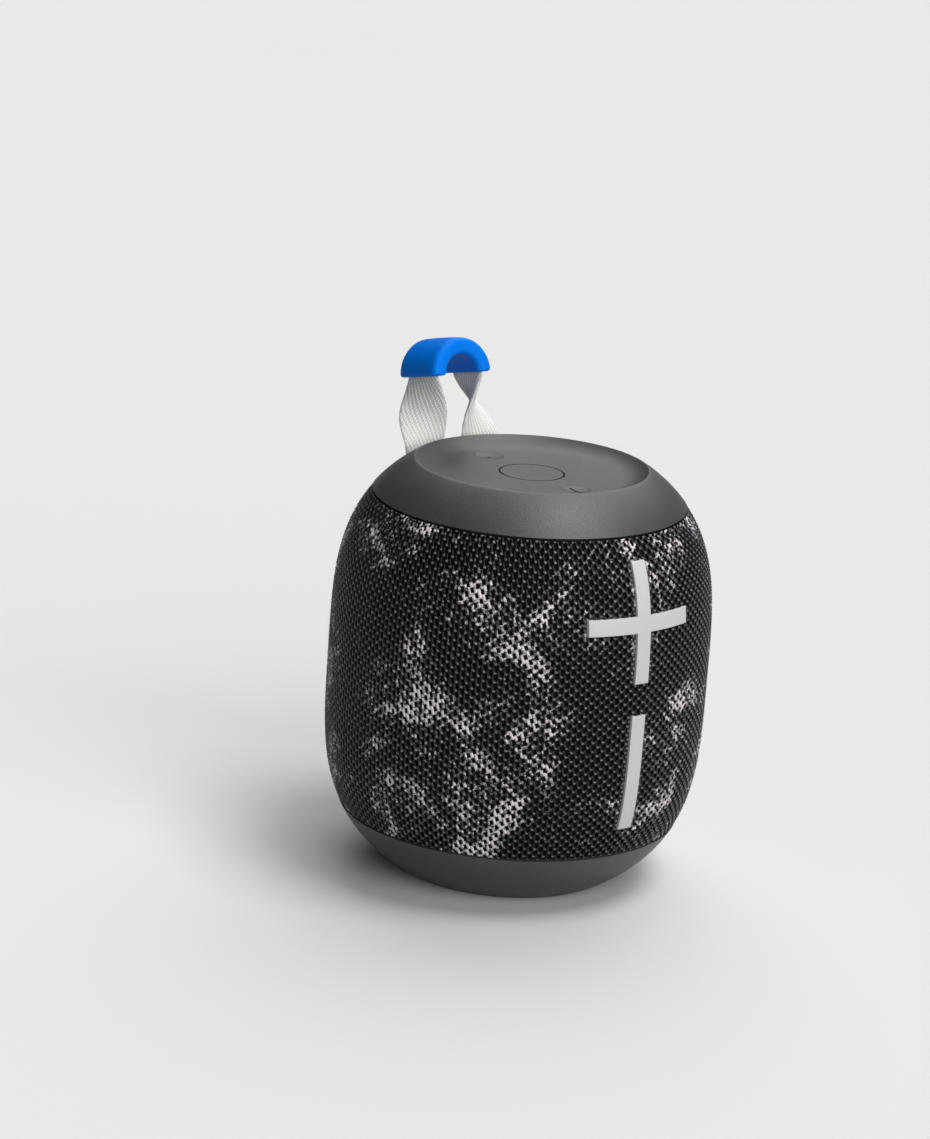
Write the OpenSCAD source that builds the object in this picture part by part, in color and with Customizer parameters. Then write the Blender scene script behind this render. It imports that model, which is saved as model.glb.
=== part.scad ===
// Compact waterproof speaker: a barrel of knit fabric between two moulded caps,
// with raised volume keys on the front and a webbing carry loop at the back.
// The base stands on z = 0, the front faces -Y and the loop is at +Y.

/* [Body] */
// Largest diameter of the barrel
body_d = 95.3; // [92:0.1:99]
// Height from the base to the top rim
body_h = 104; // [102:0.5:110]
// How far past each end the barrel's curve would close
curve_over = 7.8; // [7:0.1:9]
// Fullness of the barrel's side, higher is straighter
side_fullness = 3.7; // [3.4:0.05:4]
// Shoulder exponent above the middle
top_shoulder = 1.85; // [1.75:0.01:1.95]
// Shoulder exponent below the middle
low_shoulder = 1.63; // [1.55:0.01:1.7]
// Height of the bottom cap, up to its seam with the fabric
low_cap_h = 15.5; // [14.5:0.1:16]
// Height of the top cap, from its seam to the rim
top_cap_h = 8.7; // [8.2:0.1:9.2]
// Dark gap between each cap and the fabric
seam_gap = 0.5; // [0.3:0.05:0.7]
// Wall of the two caps
cap_wall = 1.8; // [1.6:0.1:2]
// Thickness of the knit sleeve
fabric_t = 1.2; // [0.8:0.1:1.4]
// Wall of the cage behind the fabric
cage_wall = 1.4; // [1.2:0.1:1.5]
// Gap left between pieces that are pushed together
seat_gap = 0.1; // [0.05:0.01:0.15]

/* [Top and base dishes] */
// Depth of the dish in the top
top_dish_depth = 2.4; // [2:0.1:2.6]
// Radius of the flat floor of the top dish
top_floor_r = 22.4; // [22:0.1:24]
// Rounding of the top rim
rim_round = 0.4; // [0.3:0.1:0.8]
// Depth of the dish in the base
base_dish_depth = 1.6; // [1.2:0.1:2]
// Radius of the flat floor of the base dish
base_floor_r = 19; // [16:0.5:20]
// Inner radius of the ring that the speaker stands on
base_ring_r = 22.5; // [21:0.1:23.5]

/* [Top and base keys] */
// Radius of the round key in the middle of the top
centre_key_r = 7.8; // [7:0.1:8.4]
// Radius of the two small keys
small_key_r = 3.6; // [3.2:0.1:4]
// Distance of each small key from the middle
small_key_y = 17.5; // [16.5:0.1:18]
// Radius of the round key in the base
base_key_r = 7.8; // [7:0.1:8.4]
// Visible gap round the centre key and the base key
round_key_gap = 0.45; // [0.15:0.01:0.6]
// Gap round the two small keys
small_key_gap = 0.1; // [0.08:0.01:0.2]
// Travel of the top and base keys
key_travel = 0.5; // [0.3:0.05:0.6]
// Thickness of a key's flange under the cap
key_flange_t = 0.9; // [0.7:0.1:1]
// How far the flange reaches past the key
key_flange_w = 1.2; // [1:0.1:1.4]
// Play of a key's flange under the cap
key_play = 0.15; // [0.1:0.01:0.2]
// Radius of the ball that hollows the small keys
dimple_ball_r = 9.2; // [9:0.1:14]
// Depth of the hollow in the small keys
dimple_depth = 0.75; // [0.4:0.05:0.8]
// Length of the light slit in the power key
slit_len = 5; // [3:0.1:6]
// Width of the light slit
slit_w = 0.7; // [0.4:0.05:0.9]

/* [Volume keys] */
// Height of the middle of the plus key
plus_z = 75.5; // [75:0.1:76]
// Height of the middle of the minus key
minus_z = 38; // [37.5:0.1:39]
// Length of the upright bars
bar_len = 29.4; // [28:0.1:30]
// Length of the plus key's level bar
level_bar_len = 30.2; // [28:0.1:31]
// Width of the bars
bar_w = 4.3; // [4:0.1:4.6]
// How far the volume keys stand proud of the fabric
bar_proud = 0.2; // [0.1:0.05:0.6]
// Clearance round the bars in their windows
bar_gap = 0.2; // [0.15:0.01:0.25]
// Travel of the volume keys
bar_travel = 0.6; // [0.4:0.05:0.7]

/* [Carry loop] */
// Width of the webbing
web_w = 12.2; // [11:0.1:12.6]
// Thickness of the webbing
web_t = 1.4; // [1.1:0.1:1.5]
// Sideways place of each webbing leg at its foot
web_foot_x = 8.8; // [8.3:0.1:9]
// Backward lean of the loop
loop_lean = 14; // [13:0.5:16]
// Distance from the anchor bar to the middle of the arch
loop_rise = 22.7; // [22:0.1:25]
// Radius of the webbing's middle line in the arch
arch_r = 7; // [6.6:0.1:7.4]
// Thickness of the grip over the arch
grip_t = 4.2; // [3.8:0.1:4.6]
// Width of the grip over the arch
grip_w = 15.5; // [14.6:0.1:16]
// Rounding of the grip's edges
grip_round = 1.2; // [0.8:0.1:1.2]
// Diameter of the anchor bar
bar_d = 2.5; // [2.2:0.1:2.6]
// Distance of the anchor bar in from the barrel's widest part
anchor_inset = 15.65; // [15.45:0.05:15.85]
// Depth of the anchor bar below the rim
anchor_drop = 8; // [7.8:0.1:8.1]
// Forward swing of the loop from rest
swing_front = 14; // [10:1:14]
// Backward swing of the loop from rest
swing_back = 59; // [40:1:59]

/* [Charge port] */
// Height of the socket's middle
port_z = 21.5; // [21.2:0.1:21.8]
// Width of the port's frame
port_w = 18; // [17:0.1:20]
// Width of the well in front of the socket
well_w = 11.4; // [10.5:0.1:12]
// Height of the well
well_h = 5.6; // [5:0.1:5.8]
// Border of the door round the well
door_lap = 1; // [0.8:0.1:1.2]
// Thickness of the door
door_t = 1.2; // [1:0.1:1.3]
// Diameter of the door's pin
door_pin_d = 1; // [0.8:0.1:1.2]
// Gap round the door
door_gap = 0.25; // [0.2:0.01:0.3]

/* [Sound chamber] */
// Depth of the transducer faces below the barrel's widest line
face_depth = 13.15; // [13:0.05:13.4]
// Wall of the chamber
tub_wall = 2; // [1.8:0.1:2.2]
// Room above the chamber for the control board
top_bay = 14; // [13.9:0.1:14.2]
// Room below the chamber for the main board
low_bay = 24.5; // [24.2:0.1:25]
// Thickness of the lid
lid_t = 2; // [1.8:0.1:2.2]
// Thickness of the lid's gasket
gasket_t = 0.8; // [0.6:0.1:1]
// Flange diameter of a driver
driver_d = 41; // [40:0.1:42]
// Diameter of a driver's cone
cone_d = 28.4; // [27.6:0.1:28.6]
// Travel of a driver's cone each way
cone_travel = 2; // [1:0.1:2.2]
// Width of a passive radiator's frame
radiator_w = 44; // [43:0.1:45]
// Height of a passive radiator's frame
radiator_h = 63; // [61:0.1:63]
// Border of the radiator's frame
radiator_rim = 3.5; // [3:0.1:3.8]
// Travel of a passive radiator each way
radiator_travel = 3; // [1:0.1:3.2]
// Diameter of the battery cell
cell_d = 18.4; // [18:0.1:18.6]
// Length of the battery cell
cell_len = 65; // [64:0.1:65.2]
// Thickness of the circuit boards
board_t = 1.6; // [1.2:0.1:1.6]

/* [Hidden] */
$fn = 64;
cut = 1;
big = 200;
slope_step = 0.01;
body_r = body_d / 2;
mid_z = body_h / 2;
low_seam = low_cap_h;
top_seam = body_h - top_cap_h;
top_floor = body_h - top_dish_depth;
top_under = top_floor - cap_wall;
base_under = base_dish_depth + cap_wall;
cage_out = fabric_t + seat_gap;
cap_seat = cap_wall + seat_gap;
cage_in = cap_seat + cage_wall;
side_steps = 26;
cap_steps = 8;
cage_lap = 4;
cage_steps = 13;
cage_slot_count = 3;
cage_rib_w = 2.6;
cage_slots_w = 30;

// Screws shared by the whole speaker
screw_r = 1;
screw_head_r = 1.8;
screw_head_t = 1.2;
pilot_gap = 0.03;
hole_gap = 0.15;
screw_pilot_r = screw_r + pilot_gap;
screw_hole_r = screw_r + hole_gap;
boss_r = 2.6;

// Chamber, its lid and what stands on it
chamber_top = body_h - top_bay;
chamber_low = low_bay;
lid_low = chamber_top - lid_t;
tub_top = lid_low - gasket_t;
tub_floor = chamber_low + tub_wall;
face_d = body_r - face_depth;
corner_depth = 5.65;
corner_r = body_r - corner_depth;
chamber_clear = 5.2;
lid_screw_r = 25.5;
lid_boss_t = 12;
lid_screw_bite = 8;
lid_skin = 0.6;
gasket_inset = 0.2;
boss_rib_w = 2;
lid_boss_r = 3.2;
tab_t = 1.4;
tab_w = 13;
tab_in_r = 22;
sound_z = (chamber_low + chamber_top) / 2;
driver_angles = [45, 225];
radiator_angles = [135, 315];

// Boards and switches
board_gap = 3.4;
control_low = chamber_top + board_gap;
control_top = control_low + board_t;
control_r = 24.5;
control_screw_r = 20.5;
control_turn = 45;
key_low = top_under - key_play - key_flange_t;
mat_sheet_t = 0.6;
mat_inset = 1;
mat_dome_r = 5;
mat_dome_t = 0.5;
mat_dome_wall = 0.7;
mat_dome_top = key_low - key_travel - seat_gap;
switch_w = 5.2;
plunger_r = 1.2;
plunger_t = 0.5;
switch_top = mat_dome_top - mat_dome_t - seat_gap;
socket_h = 2.9;
socket_w = 8;
socket_len = 5.4;
main_top = port_z - socket_h / 2;
main_low = main_top - board_t;
main_r = 34;
main_screw_r = 27;
base_switch_t = 2.4;
base_switch_tip = main_low - base_switch_t - plunger_t;
base_key_top = base_switch_tip - key_travel - seat_gap;
base_stem_r = 2.6;

// Chips on the main board: corner and side of each, chokes and a row of small ones
chip_t = 1.2;
chips = [[14, -6, 9], [-24, -4, 7], [-14, 14, 6]];
choke_x = 8;
choke_y = -21;
choke_r = 3.4;
choke_t = 2.6;
small_chip_count = 4;
small_chip_pitch = 4;
small_chip_w = 2.4;
small_chip_y = -28;

// Volume switch board in a channel down the chamber's front
channel_depth = 9.25;
channel_y = body_r - channel_depth;
channel_w = 12.4;
volume_board_w = 10;
volume_board_t = 1;
volume_board_lap = 8;
volume_board_low = minus_z - volume_board_lap;
volume_board_top = plus_z + volume_board_lap;
volume_front = channel_y + volume_board_t;
volume_switch_t = 1.5;
volume_plunger_t = 0.3;
volume_tip = volume_front + volume_switch_t + volume_plunger_t;
bar_foot = volume_tip + bar_travel + seat_gap;
bar_flange_w = 0.9;
bar_flange_t = 0.8;
bar_flange_top = cage_in + bar_gap;
bar_stem_r = 1.8;
volume_screw_z = (plus_z + minus_z) / 2;
volume_screw_gap = 9;

// Carry loop
anchor_y = body_d / 2 - anchor_inset;
anchor_z = body_h - anchor_drop;
eye_gap = 0.05;
eye_r = bar_d / 2 + eye_gap + web_t - seat_gap;
fold_t = 2 * (eye_r - bar_d / 2 - eye_gap);
fold_len = 6;
web_start = 1.8;
leg_rings = 20;
arch_rings = 14;
pocket_gap = 0.5;
pocket_r = eye_r + pocket_gap;
pocket_wall = 1.2;
pocket_side_gap = 0.3;
pocket_half_w = web_foot_x + web_w / 2 + pocket_side_gap;
cheek_w = 2.2;
mouth_gap = fold_t / 2 + pocket_gap;
mouth_front = loop_lean - swing_front;
mouth_back = loop_lean + swing_back;
mouth_len = 25;
bar_end_wall = 0.3;
anchor_len = 2 * (pocket_half_w + cheek_w - bar_end_wall);
pin_fit = 0.02;
tunnel_gap = 0.25;

// Charge port
pin_r = door_pin_d / 2;
knuckle_wall = 0.55;
knuckle_r = pin_r + knuckle_wall;
hinge_depth = 0.75;
hinge_z = port_z + well_h / 2 + door_lap + knuckle_r + seat_gap;
hinge_y = barrel_r(hinge_z) - hinge_depth;
knuckle_len = 7;
pin_seat = 1.3;
pin_len = knuckle_len + 2 * pin_seat;
door_low = port_z - well_h / 2 - door_lap;
door_w = well_w + 2 * door_lap;
door_h = well_h + 2 * door_lap;
ledge_t = door_t + seat_gap;
well_round = 1;
door_round = 0.6;
seal_t = 0.5;
seal_w = 0.6 * door_lap;
seal_gap = seat_gap / 2;
port_top_border = 1.2;
port_low_border = 0.9;
port_top = hinge_z + knuckle_r + port_top_border;
port_low = door_low - port_low_border;
port_h = port_top - port_low;
port_mid = (port_top + port_low) / 2;
port_round = 2;
port_proud = 0.15;
well_depth = 7;
socket_gap = 0.2;
socket_mouth = barrel_r(port_z) - well_depth;
frame_back = socket_mouth + socket_gap;
tongue_gap = 0.6;
notch_gap = 0.3;

// Battery cell in its cup
cell_gap = 0.3;
pad_t = 1;
cell_cap_t = 0.8;
cup_wall = 1.5;
cup_grip = 7.5;
cell_top = lid_low - pad_t;
cell_low = cell_top - cell_len;
cup_r = cell_d / 2 + cell_gap;
cup_top = cell_low + cup_grip;
cup_low = min(cell_low - cup_wall, chamber_low);

// Driver, along its own axis
driver_r = driver_d / 2;
driver_front = face_d + gasket_t;
driver_hole_r = driver_r - 2.7;
driver_boss_t = 4;
driver_pilot_t = 3;
driver_screw_bite = 2;
ear_r = driver_r + 1.5;
basket_depth = 9.5;
basket_rim_t = 1.5;
basket_rim_w = 2.3;
basket_ledge_w = 1.4;
basket_wall = 0.8;
basket_window_r = 2.9;
plate_t = 1;
ledge_z = driver_front + 0.6;
coil_r = 7.1;
coil_wall = 0.4;
coil_gap = 0.6;
pole_r = coil_r - coil_wall - coil_gap;
pole_proud = 0.3;
magnet_r = 12.5;
magnet_t = 9;
yoke_t = 2;
magnet_top = driver_front - basket_depth - plate_t;
yoke_low = magnet_top - magnet_t - yoke_t;
cone_r = cone_d / 2;
cone_depth = 5.4;
cone_lip = 0.5;
paper_t = 0.6;
dust_cap_rise = 2.6;
dust_cap_angle = 80;
coil_end_gap = 0.5;
roll_gap = 0.3;
roll_in = cone_r + roll_gap;
roll_out = driver_r - basket_rim_w - roll_gap / 2;
roll_r = (roll_out - roll_in) / 2;
roll_t = 0.5;
spider_wave = 0.35;
spider_t = 0.3;
spider_folds = 12;

// Passive radiator, along its own axis
radiator_frame_t = 2;
radiator_in_w = radiator_w - 2 * radiator_rim;
radiator_in_h = radiator_h - 2 * radiator_rim;
plate_gap = 0.3;
ring_w = 1.5 * radiator_travel;
ring_lift = 0.6;
plate_w = radiator_in_w - 2 * ring_w;
plate_h = radiator_in_h - 2 * ring_w;
ring_roll_r = (ring_w - plate_gap) / 2;
ring_roll_t = 0.6;
radiator_plate_t = 1.4;
weight_t = 2.6;
weight_inset = 4;

cap_grey = "#474645";
key_grey = "#d0d2d1";
mesh_black = "#232327";
web_white = "#d8d5d0";
grip_blue = "#0b5fd4";
inner_black = "#1c1c1d";
board_green = "#1d4a35";
steel_grey = "#a9abad";
rubber_black = "#262626";
magnet_grey = "#55585b";
spider_tan = "#b8923c";
plate_grey = "#3b3d40";
light_white = "#dfe6e4";
cell_blue = "#3a6b8c";

// Barrel curve: radius at a height, its slope, and a point t below the surface
function shoulder(z) = z > mid_z ? top_shoulder : low_shoulder;
function barrel_r(z) = body_r
    * pow(1 - pow(abs(z - mid_z) / (mid_z + curve_over), side_fullness), 1 / shoulder(z));
function barrel_slope(z) = (barrel_r(z + slope_step) - barrel_r(z - slope_step)) / (2 * slope_step);
function skin(z, t) = let (s = barrel_slope(z), k = sqrt(1 + s * s))
    [barrel_r(z) - t / k, z + t * s / k];
function steps(a, b, n) = [for (i = [0 : n]) a + (b - a) * i / n];
function skin_line(z0, z1, t, n) = [for (z = steps(z0, z1, n)) skin(z, t)];
function bezier(a, b, c, u) = (1 - u) * (1 - u) * a + 2 * u * (1 - u) * b + u * u * c;
function ease(u) = let (v = max(0, min(1, u))) v * v * (3 - 2 * v);

// A shell of the barrel between two heights and two depths
module barrel_shell(z0, z1, t0, t1, n) {
    rotate_extrude() polygon(concat(skin_line(z0, z1, t0, n), skin_line(z1, z0, t1, n)));
}

// The whole barrel, t below its surface
module barrel_solid(t) {
    line = skin_line(t, body_h - t, t, 2 * side_steps);
    ends = [[0, line[len(line) - 1][1]], [0, line[0][1]]];
    rotate_extrude() polygon(concat(line, ends));
}

module rounded_rect(w, h, r) {
    square([w - 2 * r, h], center = true);
    square([w, h - 2 * r], center = true);
    for (x = [-1, 1], y = [-1, 1])
        translate([x * (w / 2 - r), y * (h / 2 - r)]) circle(r);
}

module racetrack(w, h) {
    square([w, h - w], center = true);
    for (y = [-1, 1])
        translate([0, y * (h - w) / 2]) circle(w / 2);
}

// Moves children so that their z points out of the barrel at an angle from the front
module on_face(angle, z) {
    rotate([0, 0, angle]) translate([0, 0, z]) rotate([90, 0, 0]) children();
}

// A screw standing on z = 0 with its shank below
module screw(len) {
    cylinder(h = screw_head_t, r = screw_head_r);
    translate([0, 0, -len]) cylinder(h = len + screw_head_t / 2, r = screw_r);
}

module tact_switch(w, h, tip) {
    translate([-w / 2, -w / 2, 0]) cube([w, w, h]);
    cylinder(h = h + tip, r = plunger_r);
}

// Caps
module top_cap_shell() {
    edge = top_seam + seam_gap / 2;
    shoulder_z = body_h - rim_round;
    rim_r = barrel_r(body_h) - rim_round;
    crest = [for (u = steps(0, 1, 5))
        bezier([rim_r, body_h], [barrel_r(body_h), body_h], skin(shoulder_z, 0), u)];
    dish = [for (u = steps(0, 1, cap_steps))
        [top_floor_r + (rim_r - top_floor_r) * u, top_floor + top_dish_depth * u * u]];
    side = skin_line(shoulder_z, edge, 0, cap_steps);
    inside = skin_line(edge, shoulder_z, cap_wall, cap_steps);
    rotate_extrude() polygon(concat([[0, top_under], [0, top_floor]], dish, crest, side,
        inside, [[top_floor_r, top_under]]));
}

// Side view of the strap pocket round the anchor bar, grown by a wall
module pocket_side(wall) {
    m = mouth_gap + wall;
    f = [sin(mouth_front), cos(mouth_front)];
    b = [sin(mouth_back), cos(mouth_back)];
    front_foot = m * [-f[1], f[0]];
    back_foot = m * [b[1], -b[0]];
    circle(pocket_r + wall);
    polygon([[0, 0], front_foot, front_foot + mouth_len * f, mouth_len * (f + b),
        back_foot + mouth_len * b, back_foot]);
}

module pocket(wall, half_w) {
    translate([0, anchor_y, anchor_z])
        rotate([90, 0, 90])
            linear_extrude(2 * half_w, center = true) pocket_side(wall);
}

module anchor_bar(r, len) {
    translate([0, anchor_y, anchor_z])
        rotate([0, 90, 0]) cylinder(h = len, r = r, center = true);
}

module top_cap() {
    color(cap_grey) difference() {
        union() {
            top_cap_shell();
            intersection() {
                pocket(pocket_wall, pocket_half_w + cheek_w);
                top_cap_fill();
            }
        }
        pocket(0, pocket_half_w);
        anchor_bar(bar_d / 2 + pin_fit, anchor_len);
        translate([0, 0, top_under - cut])
            cylinder(h = big, r = centre_key_r + round_key_gap);
        for (y = [-1, 1])
            translate([0, y * small_key_y, top_under - cut])
                cylinder(h = big, r = small_key_r + small_key_gap);
    }
}

// The space under the top cap, up to the middle of its wall
module top_cap_fill() {
    half = cap_wall / 2;
    line = skin_line(top_seam + seam_gap, body_h - rim_round, half, cap_steps);
    low = chamber_top + tab_t + seat_gap;
    rotate_extrude() polygon(concat([[0, low], [line[0][0], low]], line,
        [[top_floor_r, top_floor - half], [0, top_floor - half]]));
}

module bottom_cap() {
    edge = low_seam - seam_gap / 2;
    ring_out = barrel_r(0) - rim_round;
    foot = [for (u = steps(0, 1, 4))
        bezier([ring_out, 0], [barrel_r(0), 0], skin(rim_round, 0), u)];
    side = skin_line(rim_round, edge, 0, 2 * cap_steps);
    inside = skin_line(edge, rim_round, cap_wall, 2 * cap_steps);
    dish = [for (u = steps(0, 1, cap_steps))
        [base_floor_r + (base_ring_r - base_floor_r) * u, base_dish_depth * (1 - u * u)]];
    color(cap_grey) difference() {
        rotate_extrude() polygon(concat([[0, base_under], [0, base_dish_depth]], dish,
            foot, side, inside, [[base_floor_r, base_under]]));
        translate([0, 0, -cut]) cylinder(h = big, r = base_key_r + round_key_gap);
    }
}

// Outline of a volume key seen from the front, grown all round
module plus_outline(grow) {
    square([bar_w + 2 * grow, bar_len + 2 * grow], center = true);
    square([level_bar_len + 2 * grow, bar_w + 2 * grow], center = true);
}

module minus_outline(grow) {
    square([bar_w + 2 * grow, bar_len + 2 * grow], center = true);
}

module plus_prism(grow) {
    on_face(0, plus_z) linear_extrude(big) plus_outline(grow);
}

module minus_prism(grow) {
    on_face(0, minus_z) linear_extrude(big) minus_outline(grow);
}

module port_prism(grow) {
    on_face(180, port_mid)
        linear_extrude(big)
            rounded_rect(port_w + 2 * grow, port_h + 2 * grow, port_round + grow);
}

module fabric_sleeve() {
    color(mesh_black) difference() {
        barrel_shell(low_seam + seam_gap / 2, top_seam - seam_gap / 2, 0, fabric_t, side_steps);
        plus_prism(bar_gap);
        minus_prism(bar_gap);
        port_prism(seat_gap);
    }
}

// Upright slots of the cage in front of one sound face, shorter towards its sides
module cage_slots(angle, w, h) {
    slot_w = (w - (cage_slot_count - 1) * cage_rib_w) / cage_slot_count;
    half_count = (cage_slot_count - 1) / 2;
    for (i = [-half_count : half_count]) {
        x = i * (slot_w + cage_rib_w);
        far = min(w / 2, abs(x) + slot_w / 4);
        slot_h = h - w + 2 * sqrt(w * w / 4 - far * far);
        on_face(angle, sound_z) translate([x - slot_w / 2, -slot_h / 2])
            cube([slot_w, slot_h, big]);
    }
}

module cage_body() {
    low_end = low_seam - cage_lap;
    top_end = top_seam + cage_lap;
    low_ring = skin_line(low_end, low_seam, cap_seat, 4);
    side = skin_line(low_seam + seam_gap / 2, top_seam - seam_gap / 2, cage_out, cage_steps);
    top_ring = skin_line(top_seam, top_end, cap_seat, 4);
    inside = skin_line(top_end, low_end, cage_in, cage_steps + 4);
    rotate_extrude() polygon(concat(low_ring, side, top_ring, inside));
}

module cage_tab(angle) {
    rotate([0, 0, angle]) difference() {
        intersection() {
            translate([-tab_w / 2, -big, chamber_top]) cube([tab_w, big, tab_t]);
            barrel_solid(cage_out + cage_wall / 2);
        }
        translate([-big / 2, -tab_in_r, 0]) cube(big);
        translate([0, -lid_screw_r, 0]) cylinder(h = big, r = screw_hole_r);
    }
}

// Room for the plus key's flange over its travel
module bar_room() {
    intersection() {
        plus_prism(bar_flange_w + bar_gap);
        barrel_shell(low_seam, top_seam, cage_in,
            bar_flange_top + bar_flange_t + bar_travel + bar_gap, side_steps);
    }
}

module grille_cage() {
    color(inner_black) difference() {
        union() {
            cage_body();
            for (a = [0 : 90 : 270]) cage_tab(a);
        }
        bar_room();
        for (a = driver_angles) cage_slots(a, cage_slots_w, cage_slots_w);
        for (a = radiator_angles) cage_slots(a, cage_slots_w, radiator_in_h - radiator_rim);
        plus_prism(bar_gap);
        minus_prism(bar_gap);
        port_prism(seat_gap);
        difference() {
            pocket(pocket_wall + seat_gap, pocket_half_w + cheek_w + seat_gap);
            translate([0, 0, -big + chamber_top + tab_t]) cylinder(h = big, r = big);
        }
    }
}

// Keys in the top and the base
module round_key(r, top, low, flange_low) {
    translate([0, 0, low]) cylinder(h = top - low, r = r);
    translate([0, 0, flange_low]) cylinder(h = key_flange_t, r = r + key_flange_w);
}

module small_key() {
    difference() {
        round_key(small_key_r, top_floor, key_low, key_low);
        dimple_ball();
    }
}

module dimple_ball() {
    translate([0, 0, top_floor - dimple_depth + dimple_ball_r]) sphere(dimple_ball_r);
}

module centre_key() {
    color(cap_grey) round_key(centre_key_r, top_floor, key_low, key_low);
}

module slit_prism(low, top) {
    translate([-slit_w / 2, -slit_len / 2, low]) cube([slit_w, slit_len, top - low]);
}

module power_key() {
    color(cap_grey) translate([0, -small_key_y, 0]) difference() {
        small_key();
        slit_prism(key_low - cut, top_floor + cut);
    }
}

// The light fills the slit up to the skin of the hollow
module status_light() {
    color(light_white) translate([0, -small_key_y, 0]) difference() {
        slit_prism(key_low, top_floor);
        dimple_ball();
    }
}

module pairing_key() {
    color(cap_grey) translate([0, small_key_y, 0]) small_key();
}

module base_key() {
    flange_low = base_under + key_play;
    color(cap_grey) {
        translate([0, 0, base_dish_depth])
            cylinder(h = flange_low + key_flange_t - base_dish_depth, r = base_key_r);
        translate([0, 0, flange_low]) cylinder(h = key_flange_t, r = base_key_r + key_flange_w);
        translate([0, 0, flange_low]) cylinder(h = base_key_top - flange_low, r = base_stem_r);
    }
}

// A volume key: the raised bar, its flange behind the cage and a stem to the switch
module volume_key(z) {
    intersection() {
        children(0);
        barrel_shell(low_seam, top_seam, -bar_proud, bar_flange_top + bar_flange_t / 2, side_steps);
    }
    intersection() {
        children(1);
        barrel_shell(low_seam, top_seam, bar_flange_top, bar_flange_top + bar_flange_t, side_steps);
    }
    on_face(0, z) translate([0, 0, bar_foot])
        cylinder(h = barrel_r(z) - bar_flange_top - bar_foot, r = bar_stem_r);
}

module volume_up_key() {
    color(key_grey) volume_key(plus_z) {
        plus_prism(0);
        plus_prism(bar_flange_w);
    }
}

module volume_down_key() {
    color(key_grey) volume_key(minus_z) {
        minus_prism(0);
        minus_prism(bar_flange_w);
    }
}

// Control board under the top
module key_places() {
    children();
    for (y = [-1, 1]) translate([0, y * small_key_y, 0]) children();
}

module key_mat() {
    color(rubber_black) difference() {
        union() {
            translate([0, 0, control_top]) cylinder(h = mat_sheet_t, r = control_r - mat_inset);
            key_places() translate([0, 0, control_top])
                cylinder(h = mat_dome_top - control_top, r = mat_dome_r);
        }
        key_places() translate([0, 0, control_top - cut])
            cylinder(h = mat_dome_top - mat_dome_t - control_top + cut,
                r = mat_dome_r - mat_dome_wall);
        for (a = [0 : 90 : 270]) rotate(a + control_turn)
            translate([control_screw_r, 0, control_top - cut])
                cylinder(h = big, r = screw_head_r + 2 * seat_gap);
    }
}

module control_board() {
    color(board_green) difference() {
        translate([0, 0, control_low]) cylinder(h = board_t, r = control_r);
        for (a = [0 : 90 : 270]) rotate(a + control_turn)
            translate([control_screw_r, 0, 0]) cylinder(h = big, r = screw_hole_r);
    }
}

module control_switches() {
    color(steel_grey) key_places() translate([0, 0, control_top])
        tact_switch(switch_w, switch_top - plunger_t - control_top, plunger_t);
}

module control_board_screws() {
    color(steel_grey) for (a = [0 : 90 : 270]) rotate(a + control_turn)
        translate([control_screw_r, 0, control_top]) screw(board_t + board_gap);
}

// Volume switch board
module volume_screw_places() {
    for (s = [-1, 1])
        on_face(0, volume_screw_z + s * volume_screw_gap) children();
}

module volume_board() {
    h = volume_board_top - volume_board_low;
    color(board_green) difference() {
        translate([-volume_board_w / 2, -volume_front, volume_board_low])
            cube([volume_board_w, volume_board_t, h]);
        volume_screw_places() cylinder(h = big, r = screw_hole_r);
    }
}

module volume_switches() {
    color(steel_grey) for (z = [plus_z, minus_z])
        on_face(0, z) translate([0, 0, volume_front])
            tact_switch(switch_w, volume_switch_t, volume_plunger_t);
}

module volume_board_screws() {
    color(steel_grey) volume_screw_places() translate([0, 0, volume_front])
        screw(volume_board_t + tub_wall);
}

// Carry loop, in its own frame with the anchor bar at the origin
module loop_frame() {
    translate([0, anchor_y, anchor_z]) rotate([-loop_lean, 0, 0]) children();
}

function leg_share(s) = min(1, max(0, (s - fold_len) / (loop_rise - fold_len)));
function leg_x(s) = web_foot_x + (arch_r - web_foot_x) * ease(leg_share(s));
function leg_turn(s) = 45 * (leg_share(s) + ease(leg_share(s)));
function web_ring(c, w, o) = [
    c + w * web_w / 2 + o * web_t / 2,
    c - w * web_w / 2 + o * web_t / 2,
    c - w * web_w / 2 - o * web_t / 2,
    c + w * web_w / 2 - o * web_t / 2];
function leg_ring(side, s) = let (a = leg_turn(s))
    web_ring([side * leg_x(s), 0, s], [side * cos(a), sin(a), 0], [side * sin(a), -cos(a), 0]);
function arch_ring(a) =
    web_ring([arch_r * cos(a), 0, loop_rise + arch_r * sin(a)], [0, 1, 0], [cos(a), 0, sin(a)]);

module webbing_ribbon() {
    heights = steps(web_start, loop_rise, leg_rings);
    turns = steps(0, 180, arch_rings);
    rings = concat([for (s = heights) leg_ring(1, s)],
        [for (i = [1 : arch_rings - 1]) arch_ring(turns[i])],
        [for (i = [leg_rings : -1 : 0]) leg_ring(-1, heights[i])]);
    last = len(rings) - 1;
    points = [for (ring = rings, p = ring) p];
    sides = [for (i = [0 : last - 1], j = [0 : 3], half = [0, 1])
        let (a = 4 * i + j, b = 4 * i + (j + 1) % 4)
            half == 0 ? [a, b, b + 4] : [a, b + 4, a + 4]];
    ends = [[0, 2, 1], [0, 3, 2],
        [4 * last, 4 * last + 1, 4 * last + 2], [4 * last, 4 * last + 2, 4 * last + 3]];
    polyhedron(points, concat(sides, ends));
}

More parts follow.
